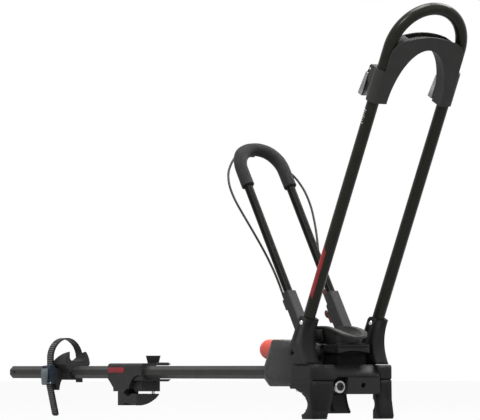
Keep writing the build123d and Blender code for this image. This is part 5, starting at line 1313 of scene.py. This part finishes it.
@dataclass
class LadderStrap:
    """The rubber ladder strap: up from the far arm, over the tyre and down through the buckle.

    Its legs are straight up to the height of spring, then arcs lead to the tighter crown at the top.
    The tail's corners are across and up, in millimetres. Rungs start where the strap has come across
    to rungs_from, and leave out the stretch inside the buckle and the last plain_spots.
    """

    place: float = -1100.0 * MM
    half: float = 40.0 * MM
    width: float = 25.0 * MM
    thickness: float = 3.0 * MM
    foot: float = 45.0 * MM
    spring: float = 102.0 * MM
    top: float = 147.0 * MM
    crown: float = 34.0 * MM
    tail: tuple[tuple[float, float], ...] = ((-40.0, 84.0), (-45.0, 52.0), (-25.0, -33.0))
    bend: float = 30.0 * MM
    leg_steps: int = 20
    side_steps: int = 16
    crown_steps: int = 36
    bend_steps: int = 10
    tip_share: float = 0.55
    tip_growth: float = 0.15
    pitch: float = 4.9 * MM
    spots_per_rung: int = 4
    rung: float = 2.3 * MM
    rung_width: float = 19.0 * MM
    rung_height: float = 1.9 * MM
    crest_inset: float = 0.5 * MM
    crest_rise: float = 0.4 * MM
    rungs_from: float = -28.0 * MM
    buckle_low: float = 42.0 * MM
    buckle_high: float = 84.0 * MM
    plain_spots: int = 6

    def route(self) -> list[Vector]:
        """The strap's middle line in the plane of Y and Z, in evenly spaced points.

        Returns:
            The points, from the far arm to the tail's end.
        """
        rise = self.top - self.spring
        side = (self.half**2 + (rise - self.crown) ** 2 - self.crown**2) / (2.0 * (self.half - self.crown))
        turn = math.atan2(rise - self.crown, side - self.half)
        shares = [1.0 - k / self.leg_steps for k in range(self.leg_steps)]
        line = [Vector((self.half, self.spring + (self.foot - self.spring) * share)) for share in shares]
        over = math.pi - 2.0 * turn
        line += arc(Vector((self.half - side, self.spring)), side, 0.0, turn, self.side_steps)
        line += arc(Vector((0.0, self.top - self.crown)), self.crown, turn, over, self.crown_steps)
        line += arc(Vector((side - self.half, self.spring)), side, turn + over, turn, self.side_steps)
        corners = [Vector((-self.half, self.spring)), *[Vector(spot) * MM for spot in self.tail]]
        line.append(corners[0])
        for before, corner, after in zip(corners, corners[1:], corners[2:]):
            line += self.rounded(before, corner, after)
        line.append(corners[-1])
        return self.even(line)

    def rounded(self, before: Vector, corner: Vector, after: Vector) -> list[Vector]:
        """Round one corner of the tail.

        Args:
            before: the corner before it.
            corner: the corner.
            after: the corner after it.

        Returns:
            The points of the bend.
        """
        inward = (before - corner).normalized()
        onward = (after - corner).normalized()
        reach = self.bend / math.tan(inward.angle(onward) / 2.0)
        first = corner + inward * reach
        last = corner + onward * reach
        shares = [k / self.bend_steps for k in range(self.bend_steps + 1)]
        return [first.lerp(corner, share).lerp(corner.lerp(last, share), share) for share in shares]

    def even(self, line: list[Vector]) -> list[Vector]:
        """Space the points of the line evenly, with a fixed number of them to each rung.

        Args:
            line: the line's points, at any spacing.

        Returns:
            The evenly spaced points.
        """
        step = self.pitch / self.spots_per_rung
        spots = []
        at = 0.0
        run = 0.0
        for a, b in zip(line, line[1:]):
            length = (b - a).length
            while at <= run + length and length > 0.0:
                spots.append(a.lerp(b, (at - run) / length))
                at += step
            run += length
        return spots

    def build(self) -> bpy.types.Object:
        """Model the strap: a flat section drawn along its route, then its rungs.

        Returns:
            The finished strap.
        """
        spots = self.route()
        last = len(spots) - 1
        outs = []
        for k in range(len(spots)):
            ahead = (spots[min(k + 1, last)] - spots[max(k - 1, 0)]).normalized()
            outs.append(Vector((ahead.y, -ahead.x)))
        deselect()
        bpy.ops.mesh.primitive_plane_add(size=1.0, location=(0.0, 0.0, 0.0))
        strap = start("ladder_strap")
        with editing():
            select_all()
            for _ in range(last):
                extrude(0.0, 0.0, 1.0)
        for point in strap.data.vertices:
            k = min(last, round(point.co.z))
            taper = min(1.0, self.tip_share + self.tip_growth * (last - k))
            spot = spots[k] + outs[k] * (self.thickness * point.co.y)
            point.co = Vector((self.place + self.width * point.co.x * taper, spot.x, spot.y))
        settle(strap, "chock", STRAP_RUBBER)
        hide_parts("tyre_strap")
        first = next(k for k, spot in enumerate(spots) if spot.x < self.rungs_from)
        pattern = self.one_rung()
        rungs = [
            self.lay(pattern, spots[k] + outs[k] * (self.thickness / 2.0), outs[k])
            for k in range(first, len(spots) - self.plain_spots, self.spots_per_rung)
            if not self.buckle_low < spots[k].y < self.buckle_high
        ]
        bpy.data.meshes.remove(pattern.data)
        # Painted highlight: the rungs take a lighter copy of the strap rubber.
        settle(join(rungs, "strap_rungs"), "chock", LIT_RUNG_RUBBER)
        return strap

    def one_rung(self) -> bpy.types.Object:
        """Model the rung that the others are copied from: a bar with an eased crest.

        Returns:
            The rung, its middle at the origin and its crest towards +Y.
        """
        sides = (self.rung_width, self.rung_height * 2.0, self.rung)
        rung = block("rung", Vector((0.0, 0.0, 0.0)), sides)
        with editing():
            pick_faces(rung, lambda face: face.normal.y > FACING)
            bpy.ops.mesh.inset(thickness=self.crest_inset, depth=0.0)
            bpy.ops.transform.translate(value=(0.0, self.crest_rise, 0.0))
        return rung

    def lay(self, pattern: bpy.types.Object, spot: Vector, out: Vector) -> bpy.types.Object:
        """Lay a copy of the rung across the strap.

        Args:
            pattern: the rung.
            spot: its place on the strap's outer face.
            out: the direction out of that face.

        Returns:
            The copy.
        """
        rung = pattern.copy()
        rung.data = pattern.data.copy()
        bpy.context.collection.objects.link(rung)
        turned = Matrix(((1.0, 0.0, 0.0), (0.0, out.x, -out.y), (0.0, out.y, out.x))).to_4x4()
        turned.translation = (self.place, spot.x, spot.y)
        rung.data.transform(turned)
        return rung


class Lamp(NamedTuple):
    """One square lamp: its name, where it hangs, its side in metres and its power in watts."""

    name: str
    place: tuple[float, float, float]
    size: float
    power: float


LAMPS = (
    Lamp("key_lamp", (2.5, -4.0, 4.5), 2.0, 235.0),
    Lamp("top_lamp", (0.2, 0.2, 4.5), 2.4, 290.0),
    Lamp("far_lamp", (-0.3, 2.6, 3.4), 1.6, 90.0),
    Lamp("fill_lamp", (4.5, 2.0, 2.0), 2.5, 14.0),
)


@dataclass
class Studio:
    """A pale floor, soft lamps and the camera of the photograph.

    The focal length and the sensor are in millimetres, the angles in degrees.
    """

    floor_height: float = -0.0365
    floor_size: float = 60.0
    floor_tone: float = 0.25
    floor_roughness: float = 0.9
    floor_white: float = 0.95
    ambient: float = 0.42
    lamp_target: tuple[float, float, float] = (-0.2, 0.0, 0.4)
    focal: float = 348.8
    sensor: float = 36.0
    sight: float = 200.0
    camera_place: tuple[float, float, float] = (8.0388, -5.8996, 0.0737)
    azimuth: float = 55.0
    pitch: float = 1.9703

    def background_rays(self, graph: Graph) -> bpy.types.NodeSocket:
        """Pick the rays that see the white background: from the camera, mirrored and let through.

        Args:
            graph: the nodes of the floor or of the world.

        Returns:
            A socket that is 1 for those rays and 0 for the rest.
        """
        rays = graph.nodes.new("ShaderNodeLightPath").outputs
        mirrored = graph.math("MAXIMUM", rays["Is Camera Ray"], rays["Is Glossy Ray"])
        return graph.math("MAXIMUM", mirrored, rays["Is Transmission Ray"])

    def floor(self) -> bpy.types.Object:
        """Lay the floor: white for the camera and in reflections, and with the carrier's shadow.

        Returns:
            The floor, marked as stage.
        """
        deselect()
        bpy.ops.mesh.primitive_plane_add(size=self.floor_size, location=(0.0, 0.0, self.floor_height))
        ground = bpy.context.object
        ground.name = "floor"
        made = bpy.data.materials.new("pale_floor")
        graph = Graph(made)
        shader = graph.nodes["Principled BSDF"]
        tone = (self.floor_tone, self.floor_tone, self.floor_tone, 1.0)
        look = {"Base Color": tone, "Roughness": self.floor_roughness, "Specular IOR Level": 0.0}
        graph.feed(shader, look)
        white = graph.add("Emission", "Emission", {"Strength": 1.0})
        seen = graph.math("MULTIPLY", self.background_rays(graph), self.floor_white)
        mixed = graph.add("MixShader", "Shader", {"Fac": seen, 1: shader.outputs["BSDF"], 2: white})
        graph.feed(graph.nodes["Material Output"], {"Surface": mixed})
        ground.data.materials.append(made)
        return ground

    def world(self) -> None:
        """Fill the world with white for the camera and soft grey light for the carrier."""
        world = bpy.data.worlds.new("studio")
        bpy.context.scene.world = world
        graph = Graph(world)
        light = graph.nodes["Background"]
        graph.feed(light, {"Color": WHITE, "Strength": self.ambient})
        white = graph.add("Background", "Background", {"Color": WHITE, "Strength": 1.0})
        rays = self.background_rays(graph)
        mixed = graph.add("MixShader", "Shader", {"Fac": rays, 1: light.outputs["Background"], 2: white})
        graph.feed(graph.nodes["World Output"], {"Surface": mixed})

    def hang(self, lamp: Lamp) -> None:
        """Hang one lamp so that it faces the carrier.

        Args:
            lamp: the lamp.
        """
        data = bpy.data.lights.new(lamp.name, "AREA")
        data.size = lamp.size
        data.energy = lamp.power
        hung = bpy.data.objects.new(lamp.name, data)
        bpy.context.scene.collection.objects.link(hung)
        hung.location = lamp.place
        aim = Vector(self.lamp_target) - Vector(lamp.place)
        hung.rotation_euler = aim.to_track_quat("-Z", "Y").to_euler()

    def camera(self) -> None:
        """Set the camera where the photograph was taken."""
        data = bpy.data.cameras.new("camera")
        data.lens = self.focal
        data.sensor_width = self.sensor
        data.clip_end = self.sight
        camera = bpy.data.objects.new("camera", data)
        bpy.context.scene.collection.objects.link(camera)
        camera.location = self.camera_place
        camera.rotation_euler = (math.radians(90.0 + self.pitch), 0.0, math.radians(self.azimuth))
        bpy.context.scene.camera = camera

    def build(self) -> None:
        """Set up the whole studio."""
        self.floor()
        self.world()
        for lamp in LAMPS:
            self.hang(lamp)
        self.camera()
        bpy.context.scene.view_settings.view_transform = "Standard"


def main() -> None:
    """Build the dressed carrier and its studio."""
    logging.basicConfig(level=logging.INFO, format="%(message)s")
    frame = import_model()
    dress_frame(frame)
    FoamGrip().build()
    LegMarks().build()
    ClampLabel().build()
    for side in Side:
        LeverGrip().build(side)
    LadderStrap().build()
    BuckleLever().build()
    ThumbPaddle().build()
    for side in Side:
        NoseCheek().build(side)
    for form in FAIRINGS:
        form.build()
    Studio().build()


if __name__ == "__main__":
    main()
